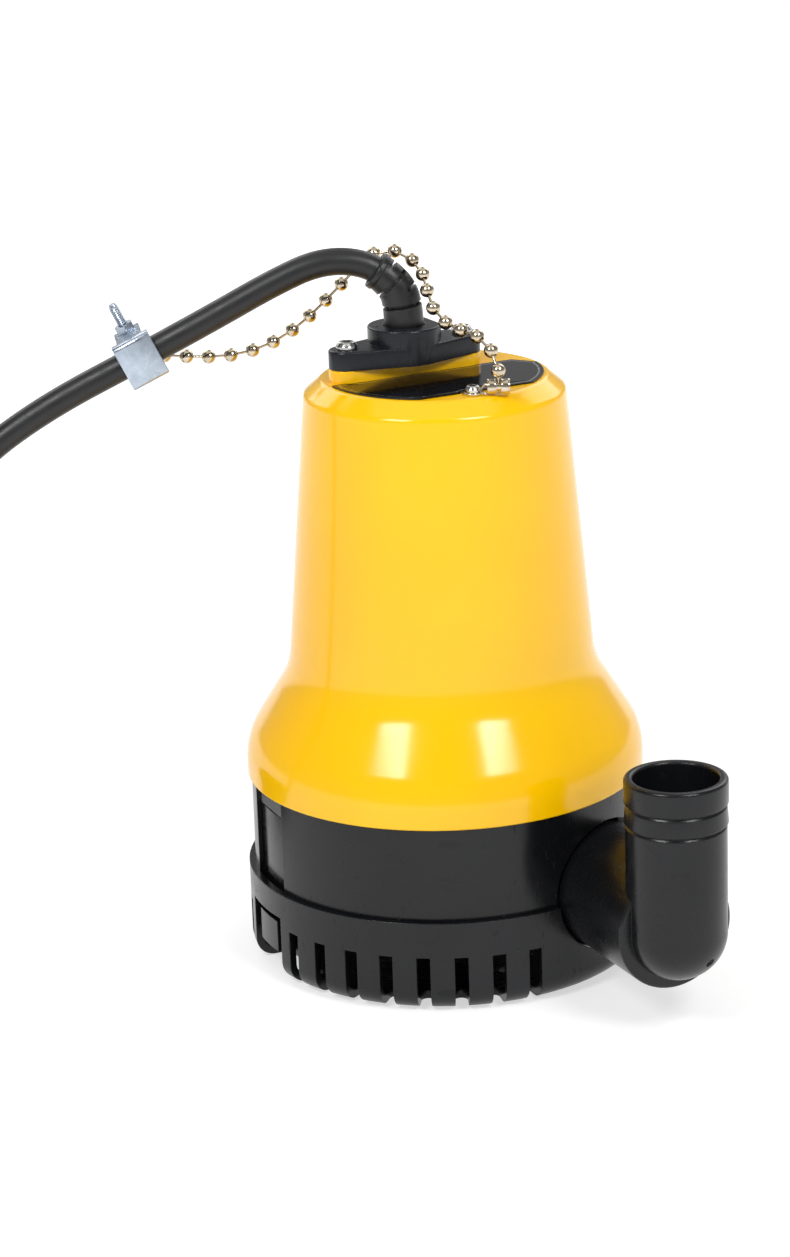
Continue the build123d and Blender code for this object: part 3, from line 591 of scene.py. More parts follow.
# Outlet elbow: black ABS with a slightly softer shine.
OUTLET_ABS = MouldedPlastic("moulded_black_abs_satin", "#101113", "#151619", (0.22, 0.3), 26.0, 0.8, 0.008,
                            0.4, scuff=0.16)
# Glass-filled nylon of the gland: blue-black and semi-gloss.
BLACK_NYLON = MouldedPlastic("moulded_black_nylon", "#121419", "#171A20", (0.22, 0.32), 12.0, 0.5, 0.012,
                             0.3, scuff=0.12)
# Printed and lacquered plate: piano-black gloss.
GLOSS_PLATE = MouldedPlastic("lacquered_black_plate", "#0A0B0E", "#0D0E12", (0.06, 0.12), 20.0, 0.8, 0.003,
                             0.1, scuff=0.08)
# Hot-foil silver line on the plate.
SILVER_FOIL = Metal("hot_foil_silver", "#C9CBD0", "#B9BCC2", (0.22, 0.3), 6.0, 0.3, 0.003, 0.05)
# Thermoplastic elastomer of the bend relief: near black, soft sheen.
ELASTOMER = Rubber("moulded_elastomer", "#0D0D0E", "#111112", (0.3, 0.42), 8.0, 0.5, 0.015, 0.3)
# Extruded rubber jacket: satin black with a broad soft highlight.
RUBBER_JACKET = Rubber("extruded_rubber_jacket", "#101113", "#151618", (0.36, 0.46), 14.0, 0.35, 0.012, 0.2)
# Nitrile O-rings and lip seals.
NITRILE = Rubber("nitrile_rubber", "#0B0B0C", "#101011", (0.4, 0.5), 5.0, 0.3, 0.01, 0.1)
# Nickel-plated brass of the chain: warm bright plating.
NICKEL = Metal("nickel_plated_brass", "#D9CDB8", "#C7B89D", (0.12, 0.2), 3.0, 0.25, 0.004, 0.08)
# Bright zinc plate of the clamp: bluish and a little cloudy.
ZINC = Metal("bright_zinc_plate", "#BFC9D6", "#A9B4C2", (0.22, 0.36), 5.0, 0.3, 0.008, 0.2)
# Polished stainless screws.
STAINLESS = Metal("polished_stainless", "#D2D2D0", "#C2C2C0", (0.14, 0.24), 4.0, 0.2, 0.004, 0.12)
# Turned and ground shaft steel, with lines round it 0.15 mm apart.
GROUND_STEEL = Metal("ground_steel", "#C9CACC", "#B9BABD", (0.16, 0.26),
                     8.0, 0.3, 0.004, 0.1, lines_mm=0.15)
# Zinc-plated drawn steel of the motor can.
DRAWN_STEEL = Metal("drawn_zinc_steel", "#B4B8BC", "#A2A6AA", (0.26, 0.4), 14.0, 0.5, 0.008, 0.2)
# Stacked lamination edges, one line every 0.5 mm.
LAMINATIONS = Metal("stacked_laminations", "#7C7E82", "#6B6D70", (0.35, 0.5),
                    10.0, 0.5, 0.06, 0.1, lines_mm=0.5)
# Oil-filled sintered bronze.
BRONZE = Sintered("sintered_bronze", "#A77B42", "#8A6232", (0.35, 0.5), metallic=1.0)
# Hard ferrite magnets.
FERRITE = Sintered("sintered_ferrite", "#3A3B3D", "#2B2C2E", (0.5, 0.65))
# Electrographite brushes.
CARBON = Sintered("pressed_carbon", "#26262A", "#18181B", (0.4, 0.55))
# Brown phenolic board of the brush plate.
PHENOLIC = MouldedPlastic("phenolic_board", "#6A3B20", "#5A3019", (0.35, 0.5),
                          9.0, 0.4, 0.01, 0.15, scuff=0.1)
# Bare commutator copper.
COPPER = Metal("turned_copper", "#C9794E", "#B5683F", (0.2, 0.34), 5.0, 0.3, 0.006, 0.1, lines_mm=0.2)
# Armature windings.
ENAMELLED_COPPER = Winding("enamelled_copper_wire", "#B5532A", "#8F3C1C", (0.25, 0.4),
                           3.0, 0.7, 0.25, 0.1)
# Glass-filled nylon impeller: grey-black, slightly fibrous.
FILLED_NYLON = MouldedPlastic("glass_filled_nylon", "#25272A", "#2E3034", (0.35, 0.5),
                              6.0, 0.4, 0.02, 0.25, scuff=0.2)
# Coloured PVC of the motor leads and the stripped cores.
RED_PVC = MouldedPlastic("extruded_red_pvc", "#A8120E", "#96100C", (0.3, 0.4),
                         8.0, 0.4, 0.006, 0.1, scuff=0.05)
BLACK_PVC = MouldedPlastic("extruded_black_pvc", "#111112", "#161617", (0.3, 0.4),
                           8.0, 0.4, 0.006, 0.1, scuff=0.05)
# Tinned copper strands at the cores' ends.
TINNED_COPPER = Metal("tinned_copper_strand", "#C7BFB2", "#B0A797", (0.25, 0.4),
                      2.0, 0.2, 0.02, 0.05, lines_mm=0.25)
# Loop strap round the coil.
LOOP_STRAP = Webbing("woven_nylon_strap", "#141415", "#1B1B1C", (0.6, 0.8), 10.0, 0.5, 0.12, 0.2)


def dress(obj: bpy.types.Object, finish: Finish) -> bpy.types.Object:
    """Give a whole piece one finish."""
    obj.data.materials.clear()
    obj.data.materials.append(finish.material())
    return obj


def stand_for(obj: bpy.types.Object, body: str, slot: str, *nodes: str) -> bpy.types.Object:
    """Let a finished piece ride on its body in place of CAD nodes.

    Args:
        obj: The finished piece.
        body: The body it moves with.
        slot: The record's material slot; not used.
        nodes: CAD nodes it stands for.
    Returns:
        The same object.
    """
    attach(obj, body)
    if nodes:
        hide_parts(*nodes)
    LOG.info("%s: %d faces", obj.name, len(obj.data.polygons) if obj.type == "MESH" else 0)
    return obj


# ---- sub-assemblies --------------------------------------------------------------
@dataclass
class GlandLayout:
    """Where the gland sits on the housing and the outlines that its pieces share."""

    x: float = -8.3
    y: float = 3.5
    azimuth: float = 27.5
    half_pitch: float = 18.9
    end_r: float = 5.4
    boss_r: float = 10.8
    top_z: float = 175.6

    def place(self, z: float = 0.0) -> Matrix:
        """The gland's own frame, X along its two screws."""
        return upright(self.x, self.y, z, self.azimuth)

    def seat_outline(self, grow: float = 0.0) -> list[Point]:
        """The raised seat: straight in front, bulged behind."""
        end, boss, reach = self.end_r + grow, self.boss_r + grow, self.half_pitch
        lift = math.degrees(math.asin(end / boss))
        return (arc(reach, 0, end, -90, 90, 16) + arc(0, 0, boss, lift, 180 - lift, 20)
                + arc(-reach, 0, end, 90, 270, 16))

    def flange_outline(self) -> list[Point]:
        """The flange: two end rounds and the boss wrapped in one tangent line."""
        phi = math.degrees(math.acos((self.boss_r - self.end_r) / self.half_pitch))
        reach = self.half_pitch
        return (arc(reach, 0, self.end_r, -phi, phi, 14) + arc(0, 0, self.boss_r, phi, 180 - phi, 10)
                + arc(-reach, 0, self.end_r, 180 - phi, 180 + phi, 14)
                + arc(0, 0, self.boss_r, 180 + phi, 360 - phi, 10))


@dataclass
class MotorHousing:
    """The tapered yellow housing with the raised gland seat, and the plate on its top."""

    gland: GlandLayout
    wall: float = 2.2
    skirt: float = 4.1
    bend_radii: tuple[float, float] = (21.0, 22.0)
    flare: float = 32.0
    flare_line: float = 14.7
    taper: float = 5.0
    shoulder_drop: float = 4.4
    top_r: float = 33.2
    rim_r: float = 2.2
    top_wall: float = 2.6
    plate_r: float = 32.0
    plate_front: float = 26.2
    plate_back: float = 2.2
    plate_azimuth: float = 26.9
    plate_t: float = 0.45
    plate_chamfer: Point = (12.0, 5.2)  # degrees of the round and millimetres of the straight edge
    foil: Point = (1.1, 0.55)  # the silver line's distance from the rim, and its width

    def outline(self, inset: float) -> list[tuple[float, float, float]]:
        """Corners of the wall's line from the skirt to the top, moved inwards by inset."""
        low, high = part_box("motor_housing")
        radius = high.x / MM - inset
        steep, lean = math.radians(self.flare), math.radians(self.taper)
        first, second = self.bend_radii[0] - inset, self.bend_radii[1] + inset
        reach1 = first * math.tan(steep / 2)
        reach2 = second * math.tan((steep - lean) / 2)
        base = low.z / MM
        knee = Vector((radius, base + self.skirt + reach1))
        run = reach1 + self.flare_line + reach2
        waist = knee + Vector((-math.sin(steep), math.cos(steep))) * run
        shoulder_z = self.gland.top_z - self.shoulder_drop - inset * 0.4
        shoulder_r = waist.x - (shoulder_z - waist.y) * math.tan(lean)
        top = self.gland.top_z - (self.top_wall if inset else 0.0)
        return [(radius, base, 0.0), (knee.x, knee.y, first), (waist.x, waist.y, second),
                (shoulder_r, shoulder_z, self.rim_r), (self.top_r - inset, top, self.rim_r), (0.0, top, 0.0)]

    def build_shell(self) -> bpy.types.Object:
        """Turn the wall, then add the gland's seat to it."""
        outer = rounded(self.outline(0.0), step=3.0)
        lip = [(outer[0][0] - 0.35, outer[0][1]), (outer[0][0], outer[0][1] + 0.35)]
        inner = rounded(self.outline(self.wall), step=6.0)
        shell = lathe("yellow_housing", lip + outer[1:] + inner[::-1], 160)
        seat_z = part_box("motor_housing")[1].z / MM
        seat = prism("seat", self.gland.seat_outline(), self.gland.top_z - 1, seat_z, 0.5)
        settle(seat, self.gland.place())
        combine(shell, seat, Cut.ADD)
        return dress(shade(close_up(shell), 28), YELLOW_ABS)

    def build_plate(self) -> bpy.types.Object:
        """A gloss plate between two arcs and two straight edges, with a foil line inside its rim."""
        top, radius = self.gland.top_z, self.plate_r
        right = math.degrees(math.asin(self.plate_back / radius))
        low = math.degrees(math.asin(self.plate_front / radius))
        outline = (arc(0, 0, radius, -low, right - self.plate_chamfer[0], 14)
                   + [(radius - self.plate_chamfer[1], self.plate_back)]
                   + arc(0, 0, radius, 180 - right, 180 + low, 16))
        plate = prism("name_plate", outline, top + 0.02, top + 0.02 + self.plate_t)
        settle(plate, upright(0, 0, 0, self.plate_azimuth))
        seat = prism("seat_space", self.gland.seat_outline(0.15), top - 1, top + 5)
        settle(seat, self.gland.place())
        combine(plate, seat, Cut.REMOVE)
        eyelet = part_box("eyelet_screw")
        middle = (eyelet[0] + eyelet[1]) / 2 / MM
        below = Vector((middle.x, middle.y, top - 3))
        combine(plate, rod("eyelet_space", 3.6, 6, below, ALONG_Z), Cut.REMOVE)
        self.line_plate(close_up(plate))
        return shade(plate, 30)

    def line_plate(self, plate: bpy.types.Object) -> None:
        """Inset the top face twice and put foil on the ring between the two insets."""
        dress(plate, GLOSS_PLATE)
        plate.data.materials.append(SILVER_FOIL.material())
        take(plate)
        bpy.context.tool_settings.mesh_select_mode = (False, False, True)
        top = max(v.co.z for v in plate.data.vertices)
        for polygon in plate.data.polygons:
            polygon.select = polygon.normal.z > 0.9 and abs(polygon.center.z - top) < 1e-5
        bpy.ops.object.mode_set(mode="EDIT")
        bpy.ops.mesh.inset(thickness=self.foil[0] * MM, depth=0)
        bpy.ops.mesh.inset(thickness=self.foil[1] * MM, depth=0)
        bpy.ops.object.mode_set(mode="OBJECT")
        bpy.context.tool_settings.mesh_select_mode = (True, False, False)
        inner = [p for p in plate.data.polygons if p.select]
        rim = {tuple(sorted(e)) for p in inner for e in p.edge_keys}
        for polygon in plate.data.polygons:
            if not polygon.select and any(tuple(sorted(e)) in rim for e in polygon.edge_keys):
                polygon.material_index = 1

    def build(self) -> None:
        """Make and place the housing and its plate."""
        stand_for(self.build_shell(), "pump", "housing_yellow", "motor_housing")
        stand_for(self.build_plate(), "pump", "nameplate_gloss", "nameplate")


@dataclass
class ScrewMaker:
    """Pan screws with a cross recess, modelled once for each size."""

    head_r: float
    head_h: float
    shank_r: float
    shank_len: float

    def build(self, name: str) -> bpy.types.Object:
        """One screw with its head's seat at the origin, head up."""
        head = rounded([(self.shank_r, -self.shank_len, 0), (self.shank_r, 0, 0), (self.head_r, 0, 0.15),
                        (self.head_r, self.head_h * 0.45, 0.14 * self.head_r),
                        (self.head_r * 0.72, self.head_h, 0.22 * self.head_r),
                        (0, self.head_h, 0)], step=15)
        screw = lathe(name, [(0.0, -self.shank_len)] + head, 40)
        arm, depth = self.head_r * 0.58, self.head_h
        for turn, floor in ((0, 1.1), (90, 1.06)):
            slot = box("recess", (-arm, -0.4, depth - floor), (arm, 0.4, depth + floor))
            combine(screw, settle(slot, upright(0, 0, 0, turn)), Cut.REMOVE)
        return dress(shade(close_up(screw), 35), STAINLESS)


@dataclass
class CableGland:
    """The flange with its boss, its two screws, and the slotted sleeve round the cable."""

    layout: GlandLayout
    flange_t: float = 5.5
    sleeve_r: float = 5.9
    sleeve_tip_r: float = 5.35
    sleeve_wall: float = 1.7
    slit: float = 1.1
    flat_depth: float = 1.7
    flat_half: float = 6.5
    mark: Point = (-8.3, 1.2)
    mark_r: float = 0.55
    slit_places: tuple[tuple[float, float], ...] = ((13.2, 0.0), (16.9, 150.0), (20.4, -15.0), (23.4, 165.0))

    def build_flange(self) -> bpy.types.Object:
        """Flange and boss in one moulding, with the boss's flat side and its moulding mark."""
        low, high = (v.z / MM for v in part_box("gland_flange"))
        seat = low + self.flange_t
        flange = prism("gland_moulding", self.layout.flange_outline(), low, seat, 0.7)
        boss_r = self.layout.boss_r
        section = rounded([(0, low + 1, 0), (boss_r, low + 1, 0), (boss_r, high, 0.6),
                           (self.sleeve_r + 0.4, high, 0), (self.sleeve_r + 0.1, high - 0.4, 0),
                           (self.sleeve_r + 0.1, low + 3, 0), (0, low + 3, 0)], step=15)
        combine(flange, lathe("boss", section, 72), Cut.ADD)
        wide = self.flat_half
        flat = box("flat", (boss_r - self.flat_depth, -wide, seat + 0.8), (boss_r + 2, wide, high + 1))
        combine(flange, flat, Cut.REMOVE)
        mark = rod("mark", self.mark_r, 2, Vector((*self.mark, high - 0.5)), ALONG_Z, 20)
        combine(flange, mark, Cut.REMOVE)
        settle(close_up(flange), self.layout.place())
        return dress(shade(flange, 30), BLACK_NYLON)

    def build_sleeve(self, line: Sequence[Vector], length: float) -> bpy.types.Object:
        """A tapered tube on the cable's own line, opened by slits on alternate sides.

        Args:
            line: Points along the cable, in metres.
            length: How much of the cable the sleeve covers, in millimetres.
        Returns:
            The sleeve.
        """
        used = along_line(line, length * MM)
        sleeve = tube("bend_sleeve", used, self.sleeve_r, self.sleeve_tip_r, 32)
        take(sleeve)
        wall = sleeve.modifiers.new("wall", "SOLIDIFY")
        wall.thickness = self.sleeve_wall * MM
        wall.offset = -1.0
        bpy.ops.object.modifier_apply(modifier=wall.name)
        for reach, side in self.slit_places:
            here, ahead = point_at(line, reach * MM)
            cutter = box("slit", (-2.6, -8, -self.slit / 2), (9, 8, self.slit / 2))
            turn = Matrix.Translation(here) @ spin_about(ahead, side) @ facing(ahead)
            combine(sleeve, settle(cutter, turn), Cut.REMOVE)
        lip_at, lip_way = point_at(line, (length - 0.9) * MM)
        tip = self.sleeve_tip_r
        section = rounded([(tip - 0.3, -0.9, 0), (tip + 0.35, -0.9, 0.35), (tip + 0.35, 0.9, 0.5),
                           (tip - 0.9, 0.9, 0)], closed=True, step=15)
        lip = lathe("lip", section, 48, ring=True)
        settle(lip, Matrix.Translation(lip_at) @ facing(lip_way))
        combine(sleeve, lip, Cut.ADD)
        return dress(shade(close_up(sleeve), 35), ELASTOMER)

    def build(self, line: Sequence[Vector], length: float) -> bpy.types.Object:
        """Make and place the gland; returns the sleeve, which goes with the cable."""
        stand_for(self.build_flange(), "pump", "gland_plastic", "gland_flange")
        screw = ScrewMaker(3.15, 2.2, 1.65, 8.0).build("gland_screw_pair")
        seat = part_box("gland_flange")[0].z / MM + self.flange_t
        other = copy_of(screw, "gland_screw_other")
        for piece, side, turn in ((screw, -1, 20), (other, 1, 65)):
            settle(piece, self.layout.place(seat) @ upright(side * self.layout.half_pitch, 0, 0, turn))
        stand_for(join("gland_screw_pair", [screw, other]), "pump", "stainless", "gland_screws")
        sleeve = self.build_sleeve(line, length)
        return stand_for(sleeve, "pump", "relief_rubber", "strain_relief")


def spin_about(axis: Vector, degrees: float) -> Matrix:
    """A turn about a direction through the origin."""
    return Matrix.Rotation(math.radians(degrees), 4, axis)


def along_line(line: Sequence[Vector], length: float) -> list[Vector]:
    """The first part of a line of points, up to a length in metres."""
    used, left = [line[0]], length
    for before, after in zip(line, line[1:]):
        step = (after - before).length
        if step >= left:
            used.append(before + (after - before) * left / step)
            break
        used.append(after)
        left -= step
    return used


def point_at(line: Sequence[Vector], length: float) -> tuple[Vector, Vector]:
    """The point a length along a line, and the line's direction there."""
    used = along_line(line, length)
    return used[-1], (used[-1] - used[-2]).normalized()


def tube(name: str, line: Sequence[Vector], start_r: float, end_r: float, facets: int,
         caps: bool = False) -> bpy.types.Object:
    """A round skin along a line of points, from one radius to another in millimetres."""
    curve = bpy.data.curves.new(name, "CURVE")
    curve.dimensions = "3D"
    curve.bevel_depth = MM
    curve.bevel_resolution = max(1, facets // 4 - 1)
    curve.use_fill_caps = caps
    spline = curve.splines.new("POLY")
    spline.points.add(len(line) - 1)
    for i, (point, place) in enumerate(zip(spline.points, line)):
        point.co = (*place, 1.0)
        point.radius = start_r + (end_r - start_r) * i / (len(line) - 1)
    obj = bpy.data.objects.new(name, curve)
    bpy.context.scene.collection.objects.link(obj)
    take(obj)
    bpy.ops.object.convert(target="MESH")
    return close_up(bpy.context.object)


@dataclass
class OutletElbow:
    """The swivelling elbow: a socket over the pump's stub and a hose spigot with two low barbs."""

    azimuth: float = -64.0
    side: float = 25.5
    reach: float = 94.0
    axis_z: float = 29.5
    socket_r: float = 18.2
    socket_len: float = 44.0
    stub_space_r: float = 15.25
    stub_depth: float = 28.4
    tube_r: float = 14.45
    barb_r: float = 14.8
    groove_r: float = 13.95
    grooves: tuple[float, float] = (13.5, 7.5)
    bore_r: float = 12.15
    gate: tuple[float, float, float] = (12.5, 3.6, -6.8)  # the moulding gate's dimple on the rounded foot
    gate_r: float = 1.5

    def place(self) -> Matrix:
        """The tube's axis at the socket's level, X along the socket's axis."""
        return upright(0, 0, self.axis_z, self.azimuth) @ upright(self.reach, self.side, 0)

    def spigot(self, top: float) -> bpy.types.Object:
        """The tube with its rounded foot, barbs and rolled rim."""
        line: list[tuple[float, float, float]] = [(self.tube_r, 0, 0)]
        for depth in self.grooves:
            crest = top - depth
            line += [(self.tube_r - 0.05, crest - 0.9, 0.3), (self.groove_r, crest - 0.3, 0.25),
                     (self.groove_r, crest, 0.15), (self.barb_r, crest + 0.35, 0.25)]
        line += [(self.barb_r, top, 1.0), (self.bore_r, top, 0.9), (self.bore_r, 0, 0)]
        foot = arc(0, 0, self.tube_r, -90, 0, 18)[:-1]
        hollow = arc(0, 0, self.bore_r, 0, -90, 14)[1:]
        return lathe("spigot", foot + rounded(line, step=15) + hollow, 96)

    def build(self) -> None:
        """Make the elbow around its swivel."""
        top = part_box("outlet_elbow")[1].z / MM - self.axis_z
        mouth = -self.socket_len
        stop = mouth + self.stub_depth
        socket = rounded([(0, -0.6, 0), (self.socket_r, -0.6, 0.9), (self.socket_r, mouth, 0.5),
                          (self.stub_space_r, mouth, 0.4), (self.stub_space_r, stop, 0),
                          (self.bore_r, stop, 0), (self.bore_r, -4, 0), (0, -4, 0)], step=15)
        elbow = lathe("outlet_moulding", socket, 96)
        settle(elbow, Matrix.Rotation(math.radians(90), 4, "Y"))
        combine(elbow, self.spigot(top), Cut.ADD)
        way = rod("water_way", self.bore_r, self.socket_len - 2, Vector((-self.socket_len + 2, 0, 0)),
                  ALONG_X, 96)
        combine(elbow, way, Cut.REMOVE)
        fall = rod("fall", self.bore_r, top - 4, Vector((0, 0, 0)), ALONG_Z, 96)
        combine(elbow, fall, Cut.REMOVE)
        deselect_all()
        bpy.ops.mesh.primitive_uv_sphere_add(segments=24, ring_count=12, radius=self.gate_r * MM,
                                             location=Vector(self.gate) * MM)
        combine(elbow, settle(bpy.context.object), Cut.REMOVE)
        settle(close_up(elbow), self.place())
        dress(shade(elbow, 30), OUTLET_ABS)
        stand_for(elbow, "outlet", "outlet_plastic", "outlet_elbow")


@dataclass
class BallChain:
    """Nickel ball chain from the eyelet on the housing to the cable's clamp."""

    bead_r: float = 2.1
    mouth_r: float = 0.75
    wire_r: float = 0.42
    barrel_r: float = 2.4
    barrel_len: float = 2.6
    barrel_gap: float = 1.95

    def bead(self) -> bpy.types.Object:
        """A hollow ball with a small turned-in mouth at each pole."""
        lean = math.degrees(math.asin(self.mouth_r / self.bead_r))
        skin = arc(0, 0, self.bead_r, -90 + lean, 90 - lean, 12)
        depth = self.bead_r * math.cos(math.radians(lean)) - 0.35
        lip_r = self.mouth_r - 0.12
        return lathe("bead", skin + [(lip_r, depth), (lip_r, -depth)], 20, ring=True)

    def build(self) -> None:
        """Beads, links, coupling and eyelet, each where its CAD node is."""
        places = islands(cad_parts["chain_beads"])
        ways = [(b - a).normalized() for a, b in zip(places, places[1:])]
        ways.append(ways[-1])
        model = self.bead()
        beads = []
        for i, (place, way) in enumerate(zip(places, ways)):
            mean = (way + ways[max(i - 1, 0)]).normalized()
            bead = copy_of(model, "bead_%d" % i)
            beads.append(settle(bead, Matrix.Translation(place) @ facing(mean)))
        bpy.data.objects.remove(model)
        stand_for(dress(shade(join("ball_chain", beads), 50), NICKEL), "pump", "chain_nickel", "chain_beads")
        inside = self.bead_r - 0.9
        wires = []
        for a, b in zip(places, places[1:]):
            length = (b - a).length / MM - 2 * inside
            wires.append(rod("wire", self.wire_r, length, a / MM + (b - a).normalized() * inside, b - a, 10))
        stand_for(dress(shade(join("chain_wires", wires), 50), NICKEL), "pump", "chain_nickel", "chain_links")
        self.build_coupling(places[0])
        self.build_eyelet()

    def build_coupling(self, first: Vector) -> None:
        """Two split barrels on one neck, and the stem up to the first ball."""
        low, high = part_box("chain_coupling")
        axis = Vector(((low.x + high.x) / 2, (low.y + high.y) / 2, low.z + self.barrel_r * MM)) / MM
        half, wall = self.barrel_len / 2, 0.4
        section = rounded([(self.barrel_r, -half, 0.2), (self.barrel_r - 0.25, -half + 0.5, 0.2),
                           (self.barrel_r - 0.25, half - 0.5, 0.2), (self.barrel_r, half, 0.2),
                           (self.barrel_r - wall, half, 0.1), (self.barrel_r - 0.25 - wall, 0, 0),
                           (self.barrel_r - wall, -half, 0.1)], closed=True, step=20)
        parts = []
        for side in (-1, 1):
            barrel = lathe("barrel", section, 32, ring=True)
            lid = rod("lid", self.barrel_r - 0.35, 0.4, ALONG_Z * (-side * half * 0.5), ALONG_Z, 32)
            both = join("barrel", [barrel, lid])
            place = Matrix.Translation((axis + Vector((side * self.barrel_gap, 0, 0))) * MM)
            parts.append(settle(both, place @ Matrix.Rotation(math.radians(90), 4, "Y")))
        parts.append(rod("neck", 1.2, 2.4, axis - Vector((1.2, 0, 0)), ALONG_X, 24))
        stem = first / MM - axis
        parts.append(rod("stem", self.wire_r, stem.length - 1.2, axis, stem, 10))
        stand_for(dress(shade(join("coupling", parts), 40), NICKEL), "pump", "chain_nickel", "chain_coupling")

    def build_eyelet(self) -> None:
        """The washer under the small screw, and the loop that leaves it."""
        screw_low, screw_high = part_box("eyelet_screw")
        x, y = ((screw_low[i] + screw_high[i]) / 2 / MM for i in (0, 1))
        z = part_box("chain_eyelet")[0].z / MM
        section = rounded([(1.4, z, 0), (2.9, z, 0.2), (2.9, z + 0.8, 0.25), (1.4, z + 0.8, 0.2)],
                          closed=True, step=20)
        washer = settle(lathe("washer", section, 40, ring=True), upright(x, y, 0))
        deselect_all()
        bpy.ops.mesh.primitive_torus_add(major_segments=32, minor_segments=10, major_radius=1.35 * MM,
                                         minor_radius=0.36 * MM,
                                         location=Vector((x + 3.8, y - 1.2, z + 1.6)) * MM,
                                         rotation=(math.radians(78), 0, math.radians(-20)))
        loop = settle(bpy.context.object)
        tongue = soften(box("tongue", (x + 2.2, y - 1.8, z + 0.1), (x + 3.4, y - 0.5, z + 0.75)), 0.15)
        eyelet = dress(shade(join("eyelet", [washer, loop, tongue]), 40), NICKEL)
        stand_for(eyelet, "pump", "chain_nickel", "chain_eyelet")
        screw = ScrewMaker(2.3, 1.8, 1.2, 5.0).build("eyelet_pan_screw")
        settle(screw, upright(x, y, z + 0.82, 30))
        stand_for(screw, "pump", "stainless", "eyelet_screw")


@dataclass
class PowerCable:
    """The rubber cable: its free run to the floor, the coil it is put away in, and what is on it."""

    radius: float = 4.0
    length: float = 2.18
    top_z: float = 175.6
    boss_top: float = 190.0
    coil: Vector = field(default_factory=lambda: Vector((-206.0, 56.0, 4.8)))
    layer: float = 8.0
    per_turn: int = 16
    sleeve_len: float = 26.5
    clamp_point: int = 7
    ties: tuple[tuple[str, float], ...] = (("coil_tie_a", 225.0), ("coil_tie_b", 356.0))

    def route(self) -> list[Vector]:
        """The free run's points, from the boss to the coil, in metres."""
        gland_x, gland_y = -8.3, 3.5
        points = [
            (gland_x, gland_y, self.boss_top - 2.0), (gland_x, gland_y, 196.5), (-10.9, 3.5, 202.4),
            (-18.9, 3.4, 208.6), (-32.0, 2.4, 209.6), (-46.0, 0.7, 203.8), (-62.0, -1.8, 195.6),
            (-85.0, -5.0, 184.3), (-112.0, -9.0, 171.6), (-133.5, -13.0, 157.5), (-151.0, -18.0, 137.0),
            (-162.0, -22.0, 112.0), (-166.5, -23.0, 84.0), (-167.5, -20.0, 55.5), (-166.5, -11.0, 29.5),
            (-164.0, 6.5, 12.0), (-159.5, 31.0, 5.0), (-157.0, 56.0, 4.8),
        ]
        return [Vector(p) * MM for p in points]

    def wound(self) -> list[Vector]:
        """The coil's turns: inwards on the floor, outwards on top of that, and two turns above."""
        steps = [(270, 49, 0), (360, 41, 0), (630, 41, 0), (720, 33, 0), (900, 33, 0), (990, 33, 1),
                 (1180, 33, 1), (1260, 41, 1), (1540, 41, 1), (1620, 49, 1), (1820, 49, 1), (1900, 49, 2),
                 (1980, 45, 2), (2180, 45, 2), (2260, 37, 2), (2530, 37, 2)]
        points, angle = [], 360.0 / self.per_turn
        start = (0, 49, 0)
        last = steps[-1][0]
        count = round(last / angle)
        for i in range(1, count + 1):
            at = last * i / count
            while steps and at > steps[0][0] + 1e-6:
                start = steps.pop(0)
            end = steps[0]
            t = (at - start[0]) / (end[0] - start[0])
            ease = t * t * (3 - 2 * t)
            radius = start[1] + (end[1] - start[1]) * ease
            height = (start[2] + (end[2] - start[2]) * ease) * self.layer
            azimuth = math.radians(at)
            corner = radius / math.cos(math.pi / self.per_turn) ** 0.5
            offset = Vector((corner * math.cos(azimuth), corner * math.sin(azimuth), height))
            points.append((self.coil + offset) * MM)
        return points

    def draw(self) -> bpy.types.Object:
        """The cable's line as one smooth NURBS spline, with no skin yet."""
        points = self.route() + self.wound()
        curve = bpy.data.curves.new("supply_cable", "CURVE")
        curve.dimensions = "3D"
        spline = curve.splines.new("NURBS")
        spline.points.add(len(points) - 1)
        for point, place in zip(spline.points, points):
            point.co = (*place, 1.0)
        spline.order_u = 3
        spline.use_endpoint_u = True
        curve.resolution_u = 8
        obj = bpy.data.objects.new("supply_cable", curve)
        bpy.context.scene.collection.objects.link(obj)
        return obj

    def line_of(self, cable: bpy.types.Object) -> list[Vector]:
        """Points read along the cable's smooth line."""
        bpy.context.view_layer.update()
        mesh = bpy.data.meshes.new_from_object(cable)
        line = [v.co.copy() for v in mesh.vertices]
        bpy.data.meshes.remove(mesh)
        return line

    def skin(self, cable: bpy.types.Object) -> bpy.types.Object:
        """Give the line its round rubber jacket."""
        cable.data.bevel_depth = self.radius * MM
        cable.data.bevel_resolution = 7
        cable.data.use_fill_caps = True
        cable.data.materials.append(RUBBER_JACKET.material())
        return cable

    def build_core(self, name: str, side: float, finish: Finish) -> bpy.types.Object:
        """One stripped core, curving on past the cable's end, with its tinned tip."""
        droops = (0.0, 0.8, 1.6, 2.3)
        line = []
        for i, droop in enumerate(droops):
            azimuth = math.radians(9.0 + 10.5 * i)
            radius = 37.0 + side * 1.6 - 0.8 * i
            line.append((Vector((self.coil.x, self.coil.y, 0)) + Vector(
                (radius * math.cos(azimuth), radius * math.sin(azimuth), 20.8 - droop))) * MM)
        sleeve = dress(tube(name, line, 1.3, 1.3, 16, caps=True), finish)
        tip_way = (line[-1] - line[-2]).normalized()
        strands = []
        for k in range(7):
            spread = Vector((0, 0, 0))
            if k < 6:
                spread = spin_about(tip_way, 60.0 * k).to_3x3() @ tip_way.orthogonal() * 0.5
            strands.append(rod("strand", 0.25, 5.5, line[-1] / MM + spread - tip_way * 0.5, tip_way, 8))
        tip = dress(join("tip", strands), TINNED_COPPER)
        return shade(join(name, [sleeve, tip]), 40)

